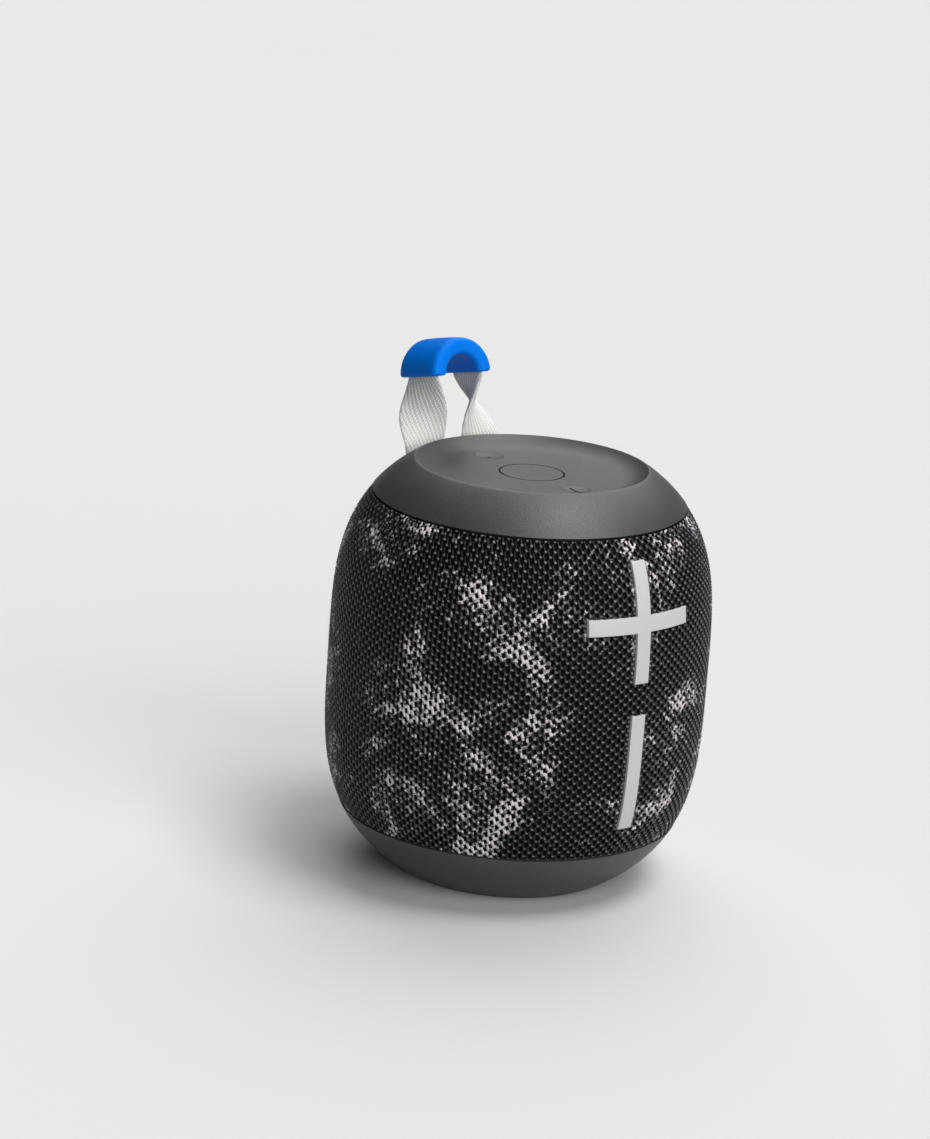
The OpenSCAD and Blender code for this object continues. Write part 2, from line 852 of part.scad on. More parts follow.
module carry_strap() {
    color(web_white) loop_frame() {
        difference() {
            union() {
                webbing_ribbon();
                for (side = [-1, 1]) translate([side * web_foot_x, 0, 0]) {
                    rotate([0, 90, 0]) cylinder(h = web_w, r = eye_r, center = true);
                    translate([-web_w / 2, -fold_t / 2, 0]) cube([web_w, fold_t, fold_len]);
                }
            }
            rotate([0, 90, 0]) cylinder(h = big, r = bar_d / 2 + eye_gap, center = true);
        }
    }
}

module strap_grip() {
    color(grip_blue) loop_frame() translate([0, 0, loop_rise]) rotate([90, 0, 0])
        rotate_extrude(angle = 180) translate([arch_r, 0]) difference() {
            rounded_rect(grip_t, grip_w, grip_round);
            square([web_t + 2 * tunnel_gap, web_w + 2 * tunnel_gap], center = true);
        }
}

module strap_bar() {
    color(steel_grey) anchor_bar(bar_d / 2, anchor_len - 2 * seat_gap);
}

// Charge port
module port_frame() {
    color(cap_grey) difference() {
        intersection() {
            port_prism(0);
            translate([0, frame_back, 0]) translate([-big / 2, 0, 0]) cube(big);
            barrel_solid(-port_proud);
        }
        on_face(180, port_z) linear_extrude(big) rounded_rect(well_w, well_h, well_round);
        difference() {
            on_face(180, port_z) linear_extrude(big)
                rounded_rect(door_w + 2 * door_gap, door_h + 2 * door_gap, door_round + door_gap);
            barrel_solid(ledge_t + seal_t);
        }
        hinge_tunnel(knuckle_r + door_gap, knuckle_len + 2 * door_gap);
        translate([-knuckle_len / 2 - door_gap, hinge_y, hinge_z - knuckle_r - door_gap])
            cube([knuckle_len + 2 * door_gap, big, 2 * (knuckle_r + door_gap)]);
        hinge_tunnel(pin_r + pin_fit, pin_len);
    }
}

module hinge_tunnel(r, len) {
    translate([0, hinge_y, hinge_z]) rotate([0, 90, 0]) cylinder(h = len, r = r, center = true);
}

module port_door() {
    color(cap_grey) difference() {
        union() {
            intersection() {
                on_face(180, port_z) linear_extrude(big)
                    rounded_rect(door_w, door_h, door_round);
                difference() {
                    barrel_solid(0);
                    barrel_solid(door_t);
                }
            }
            hinge_tunnel(knuckle_r, knuckle_len);
            intersection() {
                translate([-knuckle_len / 2, 0, hinge_z - knuckle_r - door_lap])
                    cube([knuckle_len, big, knuckle_r + door_lap]);
                difference() {
                    barrel_solid(seat_gap);
                    barrel_solid(door_t);
                }
            }
        }
        hinge_tunnel(pin_r + 2 * pin_fit, big);
    }
}

module door_pin() {
    color(steel_grey) hinge_tunnel(pin_r, pin_len - 2 * seat_gap);
}

module port_seal() {
    color(rubber_black) intersection() {
        on_face(180, port_z) linear_extrude(big) difference() {
            rounded_rect(well_w + 2 * seal_w, well_h + 2 * seal_w, door_round);
            rounded_rect(well_w, well_h, well_round);
        }
        difference() {
            barrel_solid(ledge_t + seal_gap);
            barrel_solid(ledge_t + seal_t);
        }
    }
}

module charge_socket() {
    wall = 0.4;
    color(steel_grey) translate([-socket_w / 2, socket_mouth - socket_len, main_top])
        difference() {
            cube([socket_w, socket_len, socket_h]);
            translate([wall, cut, wall])
                cube([socket_w - 2 * wall, socket_len, socket_h - 2 * wall]);
        }
}

// Main board below the chamber
module main_screw_places() {
    for (a = [0 : 90 : 270]) rotate(a + 45) translate([main_screw_r, 0, 0]) children();
}

module main_board() {
    tongue = socket_mouth - tongue_gap;
    color(board_green) difference() {
        union() {
            translate([0, 0, main_low]) cylinder(h = board_t, r = main_r);
            translate([-socket_w, 0, main_low]) cube([2 * socket_w, tongue, board_t]);
        }
        main_screw_places() cylinder(h = big, r = screw_hole_r);
    }
}

module main_board_chips() {
    color(inner_black) translate([0, 0, main_top]) {
        for (c = chips) translate([c[0], c[1], 0]) cube([c[2], c[2], chip_t]);
        for (x = [-1, 1]) translate([x * choke_x, choke_y, 0]) cylinder(h = choke_t, r = choke_r);
        for (i = [0 : small_chip_count - 1])
            translate([(i - (small_chip_count - 1) / 2) * small_chip_pitch, small_chip_y, 0])
                cube([small_chip_w, small_chip_w / 2, chip_t]);
    }
}

module main_board_screws() {
    color(steel_grey) main_screw_places() translate([0, 0, main_low])
        mirror([0, 0, 1]) screw(board_t + chamber_low - main_top);
}

module base_switch() {
    color(steel_grey) translate([0, 0, main_low]) mirror([0, 0, 1])
        tact_switch(switch_w, base_switch_t, plunger_t);
}

// Sealed chamber that carries the drivers, the radiators and the boards
module chamber_plan(inset) {
    half = face_d - inset;
    intersection() {
        rotate(45) square(2 * half, center = true);
        circle(corner_r - inset);
        translate([-big / 2, -channel_y + inset]) square(big);
    }
    intersection() {
        rotate(45) square(2 * half, center = true);
        circle(corner_r - inset);
        for (x = [-1, 1])
            translate([x * (big / 2 + channel_w / 2 + inset), 0]) square(big, center = true);
    }
}

module chamber_block(low, high, inset) {
    intersection() {
        translate([0, 0, low]) linear_extrude(high - low) chamber_plan(inset);
        barrel_solid(chamber_clear + inset);
    }
}

module driver_screw_places(z) {
    for (a = driver_angles) on_face(a, sound_z)
        for (t = [45 : 90 : 315]) rotate(t) translate([ear_r, 0, z]) children();
}

module lid_screw_places(z) {
    for (a = [0 : 90 : 270]) rotate(a) translate([0, -lid_screw_r, z]) children();
}

// Room behind the port's frame, grown by a wall
module port_notch(wall) {
    half_w = port_w / 2 + notch_gap + wall;
    translate([-half_w, frame_back - notch_gap - wall, 0])
        cube([2 * half_w, big, port_top + notch_gap + wall]);
}

module chamber_tub() {
    lid_boss_low = tub_top - lid_boss_t;
    color(inner_black) difference() {
        union() {
            difference() {
                chamber_block(chamber_low, tub_top, 0);
                chamber_block(tub_floor, big, tub_wall);
            }
            intersection() {
                chamber_block(chamber_low, tub_top, tub_wall / 2);
                union() {
                    lid_screw_places(lid_boss_low)
                        cylinder(h = lid_boss_t, r = lid_boss_r);
                    lid_screw_places(lid_boss_low)
                        translate([-boss_rib_w / 2, -big, 0]) cube([boss_rib_w, big, lid_boss_t]);
                    driver_screw_places(face_d - tub_wall - driver_boss_t)
                        cylinder(h = driver_boss_t + tub_wall / 2, r = boss_r);
                }
            }
            translate([0, 0, cup_low]) cylinder(h = cup_top - cup_low, r = cup_r + cup_wall);
            main_screw_places() translate([0, 0, main_top])
                cylinder(h = chamber_low - main_top + tub_wall / 2, r = boss_r);
            intersection() {
                chamber_block(chamber_low, tub_top, 0);
                port_notch(tub_wall);
            }
        }
        port_notch(0);
        translate([0, 0, cell_low]) cylinder(h = big, r = cup_r);
        for (a = driver_angles) on_face(a, sound_z)
            translate([0, 0, face_d - 2 * tub_wall]) cylinder(h = big, r = driver_hole_r);
        for (a = radiator_angles) on_face(a, sound_z)
            translate([0, 0, face_d - 2 * tub_wall]) linear_extrude(big)
                racetrack(radiator_in_w, radiator_in_h);
        driver_screw_places(face_d - tub_wall - driver_pilot_t) cylinder(h = big, r = screw_pilot_r);
        lid_screw_places(lid_boss_low + lid_skin) cylinder(h = big, r = screw_pilot_r);
        main_screw_places() translate([0, 0, main_top - cut])
            cylinder(h = chamber_low - main_top + tub_wall - lid_skin + cut, r = screw_pilot_r);
        volume_screw_places() translate([0, 0, channel_y - tub_wall - cut])
            cylinder(h = big, r = screw_pilot_r);
    }
}

module lid_gasket() {
    color(rubber_black) difference() {
        chamber_block(tub_top, lid_low, gasket_inset);
        chamber_block(tub_top - cut, lid_low + cut, tub_wall - gasket_inset);
    }
}

module chamber_lid() {
    color(inner_black) difference() {
        union() {
            chamber_block(lid_low, chamber_top, 0);
            lid_screw_places(tub_top) cylinder(h = gasket_t + lid_t / 2, r = lid_boss_r);
            for (a = [0 : 90 : 270]) rotate(a + control_turn)
                translate([control_screw_r, 0, lid_low + lid_t / 2])
                    cylinder(h = board_gap + lid_t / 2, r = boss_r);
        }
        lid_screw_places(0) cylinder(h = big, r = screw_hole_r);
        for (a = [0 : 90 : 270]) rotate(a + control_turn)
            translate([control_screw_r, 0, lid_low + lid_skin]) cylinder(h = big, r = screw_pilot_r);
    }
}

module lid_screws() {
    color(steel_grey) lid_screw_places(chamber_top + tab_t)
        screw(tab_t + lid_t + gasket_t + lid_screw_bite);
}

module battery_cell() {
    color(cell_blue) {
        translate([0, 0, cell_low]) cylinder(h = cell_len - cell_cap_t, r = cell_d / 2);
        translate([0, 0, cell_top - cell_cap_t]) cylinder(h = cell_cap_t, r = cell_d / 4);
    }
}

module battery_pad() {
    color(rubber_black) translate([0, 0, cell_top]) cylinder(h = lid_low - cell_top, r = cell_d / 2);
}

// Driver, with its axis on z and its front outwards
module driver_basket() {
    low = driver_front - basket_depth;
    rim_in = driver_r - basket_rim_w;
    ledge_in = rim_in - basket_ledge_w;
    difference() {
        union() {
            rotate_extrude() polygon([
                [driver_r, driver_front], [driver_r, driver_front + basket_rim_t],
                [rim_in, driver_front + basket_rim_t], [rim_in, ledge_z], [ledge_in, ledge_z],
                [magnet_r, low], [coil_r + 2 * coil_gap, low], [coil_r + 2 * coil_gap, magnet_top],
                [magnet_r + basket_wall, magnet_top],
                [ledge_in + basket_wall, driver_front - basket_wall / 2],
                [ledge_in + basket_wall, driver_front]]);
            for (t = [45 : 90 : 315]) rotate(t) translate([ear_r, 0, driver_front])
                cylinder(h = basket_rim_t, r = boss_r);
        }
        for (t = [0 : 90 : 270]) rotate(t)
            translate([0, 0, low + basket_depth / 2 - basket_wall / 2])
                rotate([0, 90, 0]) cylinder(h = big, r = basket_window_r);
        for (t = [45 : 90 : 315]) rotate(t) translate([ear_r, 0, 0])
            cylinder(h = big, r = screw_hole_r);
        translate([0, 0, ledge_z]) cylinder(h = big, r = rim_in);
    }
}

module driver_magnet() {
    gap_r = coil_r + coil_gap;
    pole_top = magnet_top + pole_proud;
    rotate_extrude() polygon([[0, yoke_low], [magnet_r, yoke_low], [magnet_r, magnet_top],
        [gap_r, magnet_top], [gap_r, yoke_low + yoke_t], [pole_r, yoke_low + yoke_t],
        [pole_r, pole_top], [0, pole_top]]);
}

module driver_cone() {
    neck = driver_front - cone_depth;
    lip = driver_front + cone_lip;
    coil_low = yoke_low + yoke_t + cone_travel + coil_end_gap;
    coil_in = coil_r - coil_wall;
    dome = [for (a = steps(0, dust_cap_angle, 5))
        [coil_r * sin(a), neck + dust_cap_rise * cos(a)]];
    hollow = [for (a = steps(dust_cap_angle, 0, 5))
        [coil_in * sin(a), neck - paper_t + dust_cap_rise * cos(a)]];
    rotate_extrude() polygon(concat(dome, [[cone_r, lip], [cone_r, lip - paper_t],
        [coil_r, neck - paper_t], [coil_r, coil_low], [coil_in, coil_low],
        [coil_in, neck - 2 * paper_t]], hollow));
}

module half_roll(r, t) {
    intersection() {
        difference() {
            circle(r);
            circle(r - t);
        }
        translate([-r, 0]) square([2 * r, r]);
    }
}

module driver_surround() {
    rotate_extrude() {
        translate([roll_in + roll_r, ledge_z]) half_roll(roll_r, roll_t);
        translate([roll_out - roll_t, ledge_z]) square([roll_t, roll_t]);
    }
}

module driver_spider() {
    low = driver_front - basket_depth;
    inner = coil_r + coil_gap / 2;
    outer = magnet_r - coil_wall;
    line = [for (i = [0 : spider_folds])
        [inner + (outer - inner) * i / spider_folds, low + (i % 2) * spider_wave]];
    back = [for (i = [spider_folds : -1 : 0]) line[i] + [0, spider_t]];
    rotate_extrude() polygon(concat(line, back));
}

module front_driver() {
    on_face(driver_angles[0], sound_z) children();
}

module rear_driver() {
    on_face(driver_angles[1], sound_z) children();
}

module front_driver_basket() { color(steel_grey) front_driver() driver_basket(); }
module front_driver_magnet() { color(magnet_grey) front_driver() driver_magnet(); }
module front_driver_cone() { color(inner_black) front_driver() driver_cone(); }
module front_driver_surround() { color(rubber_black) front_driver() driver_surround(); }
module front_driver_spider() { color(spider_tan) front_driver() driver_spider(); }
module rear_driver_basket() { color(steel_grey) rear_driver() driver_basket(); }
module rear_driver_magnet() { color(magnet_grey) rear_driver() driver_magnet(); }
module rear_driver_cone() { color(inner_black) rear_driver() driver_cone(); }
module rear_driver_surround() { color(rubber_black) rear_driver() driver_surround(); }
module rear_driver_spider() { color(spider_tan) rear_driver() driver_spider(); }

module driver_gaskets() {
    color(rubber_black) for (a = driver_angles) on_face(a, sound_z)
        translate([0, 0, face_d]) difference() {
            union() {
                cylinder(h = gasket_t, r = driver_r);
                for (t = [45 : 90 : 315]) rotate(t) translate([ear_r, 0, 0])
                    cylinder(h = gasket_t, r = boss_r);
            }
            translate([0, 0, -cut]) cylinder(h = big, r = driver_hole_r);
            for (t = [45 : 90 : 315]) rotate(t) translate([ear_r, 0, -cut])
                cylinder(h = big, r = screw_hole_r);
        }
}

module driver_screws() {
    color(steel_grey) driver_screw_places(driver_front + basket_rim_t)
        screw(basket_rim_t + gasket_t + tub_wall + driver_screw_bite);
}

// Passive radiator, with its axis on z and its front outwards
module radiator_frame() {
    translate([0, 0, face_d]) linear_extrude(radiator_frame_t) difference() {
        racetrack(radiator_w, radiator_h);
        racetrack(radiator_in_w, radiator_in_h);
    }
}

module radiator_surround() {
    straight = radiator_in_h - radiator_in_w;
    mid_r = radiator_in_w / 2 - ring_roll_r;
    base_z = face_d + ring_lift;
    for (side = [0, 180]) rotate(side) {
        translate([0, straight / 2, base_z]) rotate_extrude(angle = 180)
            translate([mid_r, 0]) half_roll(ring_roll_r, ring_roll_t);
        translate([mid_r, straight / 2, base_z]) rotate([90, 0, 0])
            linear_extrude(straight) half_roll(ring_roll_r, ring_roll_t);
    }
}

module radiator_plate() {
    translate([0, 0, face_d]) linear_extrude(radiator_plate_t) racetrack(plate_w, plate_h);
    translate([0, 0, face_d - weight_t]) linear_extrude(weight_t + radiator_plate_t / 2)
        racetrack(plate_w - 2 * weight_inset, plate_h - 2 * weight_inset);
}

module front_radiator() {
    on_face(radiator_angles[1], sound_z) children();
}

module rear_radiator() {
    on_face(radiator_angles[0], sound_z) children();
}

module front_radiator_frame() { color(inner_black) front_radiator() radiator_frame(); }
module front_radiator_surround() { color(rubber_black) front_radiator() radiator_surround(); }
module front_radiator_plate() { color(plate_grey) front_radiator() radiator_plate(); }
module rear_radiator_frame() { color(inner_black) rear_radiator() radiator_frame(); }
module rear_radiator_surround() { color(rubber_black) rear_radiator() radiator_surround(); }
module rear_radiator_plate() { color(plate_grey) rear_radiator() radiator_plate(); }

top_cap();
bottom_cap();
fabric_sleeve();
grille_cage();
centre_key();
power_key();
status_light();
pairing_key();
base_key();
volume_up_key();
volume_down_key();
key_mat();
control_board();
control_switches();
control_board_screws();
volume_board();
volume_switches();
volume_board_screws();
strap_bar();
carry_strap();
strap_grip();
port_frame();
port_door();
door_pin();
port_seal();
charge_socket();
main_board();
main_board_chips();
main_board_screws();
base_switch();
chamber_tub();
chamber_lid();
lid_gasket();
lid_screws();
battery_cell();
battery_pad();
front_driver_basket();
front_driver_magnet();
front_driver_cone();
front_driver_surround();
front_driver_spider();
rear_driver_basket();
rear_driver_magnet();
rear_driver_cone();
rear_driver_surround();
rear_driver_spider();
driver_gaskets();
driver_screws();
front_radiator_frame();
front_radiator_surround();
front_radiator_plate();
rear_radiator_frame();
rear_radiator_surround();
rear_radiator_plate();
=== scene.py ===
import math

import bmesh
import bpy
import numpy as np
from mathutils import Matrix, Vector


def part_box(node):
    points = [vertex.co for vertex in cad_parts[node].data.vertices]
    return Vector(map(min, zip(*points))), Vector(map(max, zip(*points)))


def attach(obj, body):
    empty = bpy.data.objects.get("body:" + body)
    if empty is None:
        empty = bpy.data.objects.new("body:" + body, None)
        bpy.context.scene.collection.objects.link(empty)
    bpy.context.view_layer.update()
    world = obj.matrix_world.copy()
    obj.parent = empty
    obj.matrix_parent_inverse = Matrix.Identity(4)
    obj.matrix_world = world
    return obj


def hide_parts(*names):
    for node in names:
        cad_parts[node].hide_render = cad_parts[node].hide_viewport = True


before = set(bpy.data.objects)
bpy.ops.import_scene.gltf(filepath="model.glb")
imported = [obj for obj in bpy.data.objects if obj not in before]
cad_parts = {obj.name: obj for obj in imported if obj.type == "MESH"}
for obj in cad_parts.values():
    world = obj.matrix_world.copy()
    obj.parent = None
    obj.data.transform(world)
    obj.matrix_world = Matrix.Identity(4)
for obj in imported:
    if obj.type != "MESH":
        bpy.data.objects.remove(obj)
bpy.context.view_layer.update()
mm = 0.001

# the barrel, measured on the frame; the exponents give its curve
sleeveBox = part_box("fabric_sleeve")
barrel = {
    "radius": sleeveBox[1].x / mm,
    "height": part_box("top_cap")[1].z / mm,
    "overshoot": 7.8,       # how far past each end the curve would close
    "fullness": 3.7,        # higher is a straighter side
    "topShoulder": 1.85,
    "lowShoulder": 1.63,
}
seamLow = sleeveBox[0].z / mm
seamHigh = sleeveBox[1].z / mm


def barrelRadius(z):
    z = np.asarray(z, float)
    middle = barrel["height"] / 2
    share = np.abs(z - middle) / (middle + barrel["overshoot"])
    shoulder = np.where(z > middle, barrel["topShoulder"], barrel["lowShoulder"])
    return barrel["radius"] * (1 - share ** barrel["fullness"]) ** (1 / shoulder)


def barrelSlope(z):
    step = 0.01
    return (barrelRadius(z + step) - barrelRadius(z - step)) / (2 * step)


def barrelSkin(z, depth):   # radius and height of a point below the barrel's surface
    slope = barrelSlope(z)
    length = np.sqrt(1 + slope ** 2)
    return barrelRadius(z) - depth / length, z + depth * slope / length


# mesh helpers, all in millimetres

def gridFaces(rows, columns, closeRows=False, closeColumns=False):
    r = np.arange(rows if closeRows else rows - 1)
    c = np.arange(columns if closeColumns else columns - 1)
    r, c = [a.ravel() for a in np.meshgrid(r, c, indexing="ij")]
    r2, c2 = (r + 1) % rows, (c + 1) % columns
    return np.stack([r * columns + c, r * columns + c2, r2 * columns + c2, r2 * columns + c], 1)


def makePiece(name, points, faces, material, body, slotName, standsFor=()):
    mesh = bpy.data.meshes.new(name)
    faceList = faces if isinstance(faces, list) else faces.tolist()
    mesh.from_pydata((np.asarray(points, float) * mm).tolist(), [], faceList)
    shell = bmesh.new()
    shell.from_mesh(mesh)
    bmesh.ops.recalc_face_normals(shell, faces=shell.faces)
    shell.to_mesh(mesh)
    shell.free()
    mesh.polygons.foreach_set("use_smooth", [True] * len(mesh.polygons))
    mesh.materials.append(material)
    piece = bpy.data.objects.new(name, mesh)
    bpy.context.scene.collection.objects.link(piece)
    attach(piece, body)
    if standsFor:
        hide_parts(*standsFor)
    return piece


def splitSharp(piece, degrees):     # smooth shading stops at edges sharper than this
    split = piece.modifiers.new("sharp edges", "EDGE_SPLIT")
    split.split_angle = math.radians(degrees)


# material helpers

def linear(hexColour):
    values = [int(hexColour[i:i + 2], 16) / 255 for i in (1, 3, 5)]
    return [v / 12.92 if v <= 0.04045 else ((v + 0.055) / 1.055) ** 2.4 for v in values] + [1]


# numbered inputs: Math in order; MapRange 0 value, 1 and 2 its span, 3 and 4 the new span;
# Mix 0 share, 6 and 7 colours, with the colour on output 2
def addNode(tree, kind, inputs=None, **settings):
    node = tree.nodes.new("ShaderNode" + kind)
    for key, value in settings.items():
        setattr(node, key, value)
    for key, value in (inputs or {}).items():
        if isinstance(value, bpy.types.NodeSocket):
            tree.links.new(value, node.inputs[key])
        else:
            node.inputs[key].default_value = value
    return node


def newMaterial(name):
    material = bpy.data.materials.new(name)
    material.use_nodes = True
    tree = material.node_tree
    tree.nodes.clear()
    place = addNode(tree, "TexCoord").outputs["Object"]
    return material, tree, place


def perMetre(size):         # texture scale for a feature of that size in millimetres
    return 1 / mm / size


# moulded material with a fine grain: two close tones, a roughness that wanders and a bump; real grains are
# finer than these, which are as coarse as they need to be to show
def mouldedMaterial(name, look):
    material, tree, place = newMaterial(name)
    cloud = addNode(tree, "TexNoise", {"Vector": place, "Scale": perMetre(look["cloud"]), "Detail": 3.0})
    grain = addNode(tree, "TexNoise", {"Vector": place, "Scale": perMetre(look["grain"]), "Detail": 2.0})
    blend = addNode(tree, "Math", {0: grain.outputs[0], 1: look.get("speckle", 0.0), 2: cloud.outputs[0]},
                    operation="MULTIPLY_ADD")
    dark, pale = [linear(tone) for tone in look["tones"]]
    tone = addNode(tree, "Mix", {0: blend.outputs[0], 6: dark, 7: pale}, data_type="RGBA")
    smooth, coarse = look["rough"]  # most of the noise lies between 0.3 and 0.7
    rough = addNode(tree, "MapRange", {0: grain.outputs[0], 1: 0.3, 2: 0.7, 3: smooth, 4: coarse})
    bump = addNode(tree, "Bump", {"Height": grain.outputs[0], "Strength": look["bump"],
                                  "Distance": look["grain"] * mm / 2})
    shader = addNode(tree, "BsdfPrincipled", {
        "Base Color": tone.outputs[2], "Roughness": rough.outputs[0], "Normal": bump.outputs[0],
        "IOR": look.get("ior", 1.5), "Metallic": look.get("metal", 0.0),
        "Specular IOR Level": look.get("specular", 0.5)})
    addNode(tree, "OutputMaterial", {"Surface": shader.outputs[0]})
    return material


# soft-touch elastomer moulded over the caps: charcoal, a fine spark-eroded grain, a broad soft sheen
softTouch = mouldedMaterial("softTouchElastomerSparkEroded", {
    "tones": ("#272626", "#393837"), "cloud": 9.0, "grain": 0.36, "speckle": 0.7, "rough": (0.42, 0.56),
    "bump": 0.32, "ior": 1.5, "specular": 0.9})
# pale grey ABS moulded in a satin tool: even colour, soft shine
keyAbs = mouldedMaterial("paleGreyAbsSatinMoulded", {
    "tones": ("#c9caca", "#cfd0cf"), "cloud": 12.0, "grain": 0.5, "rough": (0.38, 0.5),
    "bump": 0.06, "ior": 1.53})
# blue thermoplastic rubber from a satin mould: one strong colour with little shine
gripRubber = mouldedMaterial("blueRubberSatinMoulded", {
    "tones": ("#0076ea", "#0080f2"), "cloud": 7.0, "grain": 0.5, "rough": (0.4, 0.5),
    "bump": 0.05, "ior": 1.5, "specular": 0.08})

# pieces that show little or not at all
innerLooks = {
    "cage_plastic": ("blackAbsMoulded", {               # near black and dull
        "tones": ("#161617", "#1d1d1e"), "cloud": 9.0, "grain": 0.5,
        "rough": (0.5, 0.65), "bump": 0.1}),
    "light_plastic": ("frostedPolycarbonate", {         # dark while it is off, no shine
        "tones": ("#060607", "#0a0a0b"), "cloud": 2.0, "grain": 0.3,
        "rough": (0.6, 0.7), "bump": 0.05, "ior": 1.58, "specular": 0.05}),
    "silicone": ("blackSiliconeMoulded", {              # dark, a little waxy
        "tones": ("#1f1f20", "#272728"), "cloud": 5.0, "grain": 0.4,
        "rough": (0.45, 0.6), "bump": 0.08, "ior": 1.41}),
    "board_laminate": ("greenSolderMaskLaminate", {     # clear glossy green
        "tones": ("#174a33", "#1d5a3e"), "cloud": 3.0, "grain": 0.6,
        "rough": (0.25, 0.35), "bump": 0.08}),
    "steel": ("brushedStainlessSteel", {                # bright grey, soft reflections
        "tones": ("#9fa1a3", "#b4b6b8"), "cloud": 2.0, "grain": 0.3,
        "rough": (0.28, 0.4), "bump": 0.05, "metal": 1.0}),
    "cell_wrap": ("heatShrunkPvcSleeve", {              # smooth blue film
        "tones": ("#2f6488", "#3a7096"), "cloud": 8.0, "grain": 0.8,
        "rough": (0.25, 0.35), "bump": 0.06}),
    "magnet_iron": ("sinteredFerrite", {                # dark grey and gritty
        "tones": ("#3c3e40", "#505355"), "cloud": 2.0, "grain": 0.5,
        "rough": (0.5, 0.65), "bump": 0.15}),
    "cone_pulp": ("pressedPaperPulp", {                 # matt black with some fibre
        "tones": ("#1b1b1c", "#262627"), "cloud": 1.5, "grain": 0.6,
        "rough": (0.7, 0.85), "bump": 0.3}),
    "spider_cloth": ("resinDippedCotton", {             # stiff amber cloth
        "tones": ("#a8823a", "#c09a4c"), "cloud": 1.0, "grain": 0.5,
        "rough": (0.6, 0.75), "bump": 0.3}),
    "radiator_metal": ("blackAnodisedAluminium", {      # dark metal, satin
        "tones": ("#303234", "#3c3e41"), "cloud": 4.0, "grain": 0.3,
        "rough": (0.35, 0.45), "bump": 0.06, "metal": 0.6}),
}
slotMaterials = {slot: mouldedMaterial(*look) for slot, look in innerLooks.items()}
slotMaterials.update({"cap_skin": softTouch, "key_plastic": keyAbs, "grip_rubber": gripRubber})
print("materials for moulded and inner pieces made")

# carried-over nodes get their material and a smooth surface up to a sharp edge
solidEdge, keyEdge = 32, 40     # degrees
weldReach = 1e-6                # metres
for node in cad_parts.values():
    mesh = node.data
    slotName = mesh.materials[0].name.split(".")[0]
    mesh.materials[0] = slotMaterials.get(slotName, softTouch)
    if "custom_normal" in mesh.attributes:
        mesh.attributes.remove(mesh.attributes["custom_normal"])
    mesh.polygons.foreach_set("use_smooth", [True] * len(mesh.polygons))
    weld = node.modifiers.new("weld", "WELD")
    weld.merge_threshold = weldReach
    splitSharp(node, solidEdge)
print("carried-over nodes dressed:", len(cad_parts))

# knit sleeve: upright yarns that swing from side to side and lie against each neighbour in turn,
# which leaves staggered round holes over a dark lining
knit = {
    "holes": 112,           # round the barrel, 2.67 mm apart at its widest
    "rowPitch": 1.115,      # height of one row of holes
    "swing": 0.21,          # side to side, at the widest part
    "yarnWidth": 1.0,
    "waist": 0.9,           # share of that width between two touches
    "swell": 0.14,          # share that a touch adds
    "yarnDepth": 0.66,
    "section": (0, 55, 125, 180, 270),          # degrees round the yarn, outer side up
    "sectionRelief": (0.5, 1, 1, 0.5, 0),       # how far out each of these points counts as lying
    "lowRelief": 0.4,       # share of it between two touches
    "depth": 0.52,          # of the yarn's middle below the barrel's surface
    "run": 0.46,            # half the height over which two yarns lie together
    "lift": 0.2,            # of the middle of that run
    "slant": 0.17,          # sideways over half that run, so that each stitch leans
    "crossing": 0.16,       # by which the upper of two yarns reaches over the other
    "under": 0.25,          # share of the lift that the lower yarn has
    "overhang": 0.2,        # into the seams at the caps
    "endGap": 0.1,          # from a yarn's end to a key or the port
    "sideGap": 0.06,        # from a yarn's side to a key or the port
    "tuck": 0.6,            # yarns up to this far inside a window are pushed to its side
    "fewest": 3,            # rings in a length of yarn; shorter ends are left out
    "liningDepth": 0.98,
    "liningThick": 0.15,
    "patch": 21,            # size of the print's pale patches
    "crumb": 3.4,           # of the crumbs that they break into
    "stitch": 0.85,         # of one stitch, printed or not
    "crumbShare": 0.36,
    "stitchShare": 0.28,
    "pale": (0.76, 1.0),    # where the print begins and where it is full
    "tones": ((0.1, "#1a1a1d"), (0.44, "#3a393e"), (0.58, "#736e74"), (0.78, "#e8e1e5")),  # over that span
    # painted shade: the near-black tone of the yarns where they lie low, between the stitches
    "shadedValley": "#060607",
    "unshaded": (0.3, 1.0),    # relief over which the painted valley shade gives way to the print
    "rubbed": (0.55, 0.95),             # relief over which a painted highlight comes in
    "crown": "#8b8a8f",     # painted highlight: the yarn's tone there
}


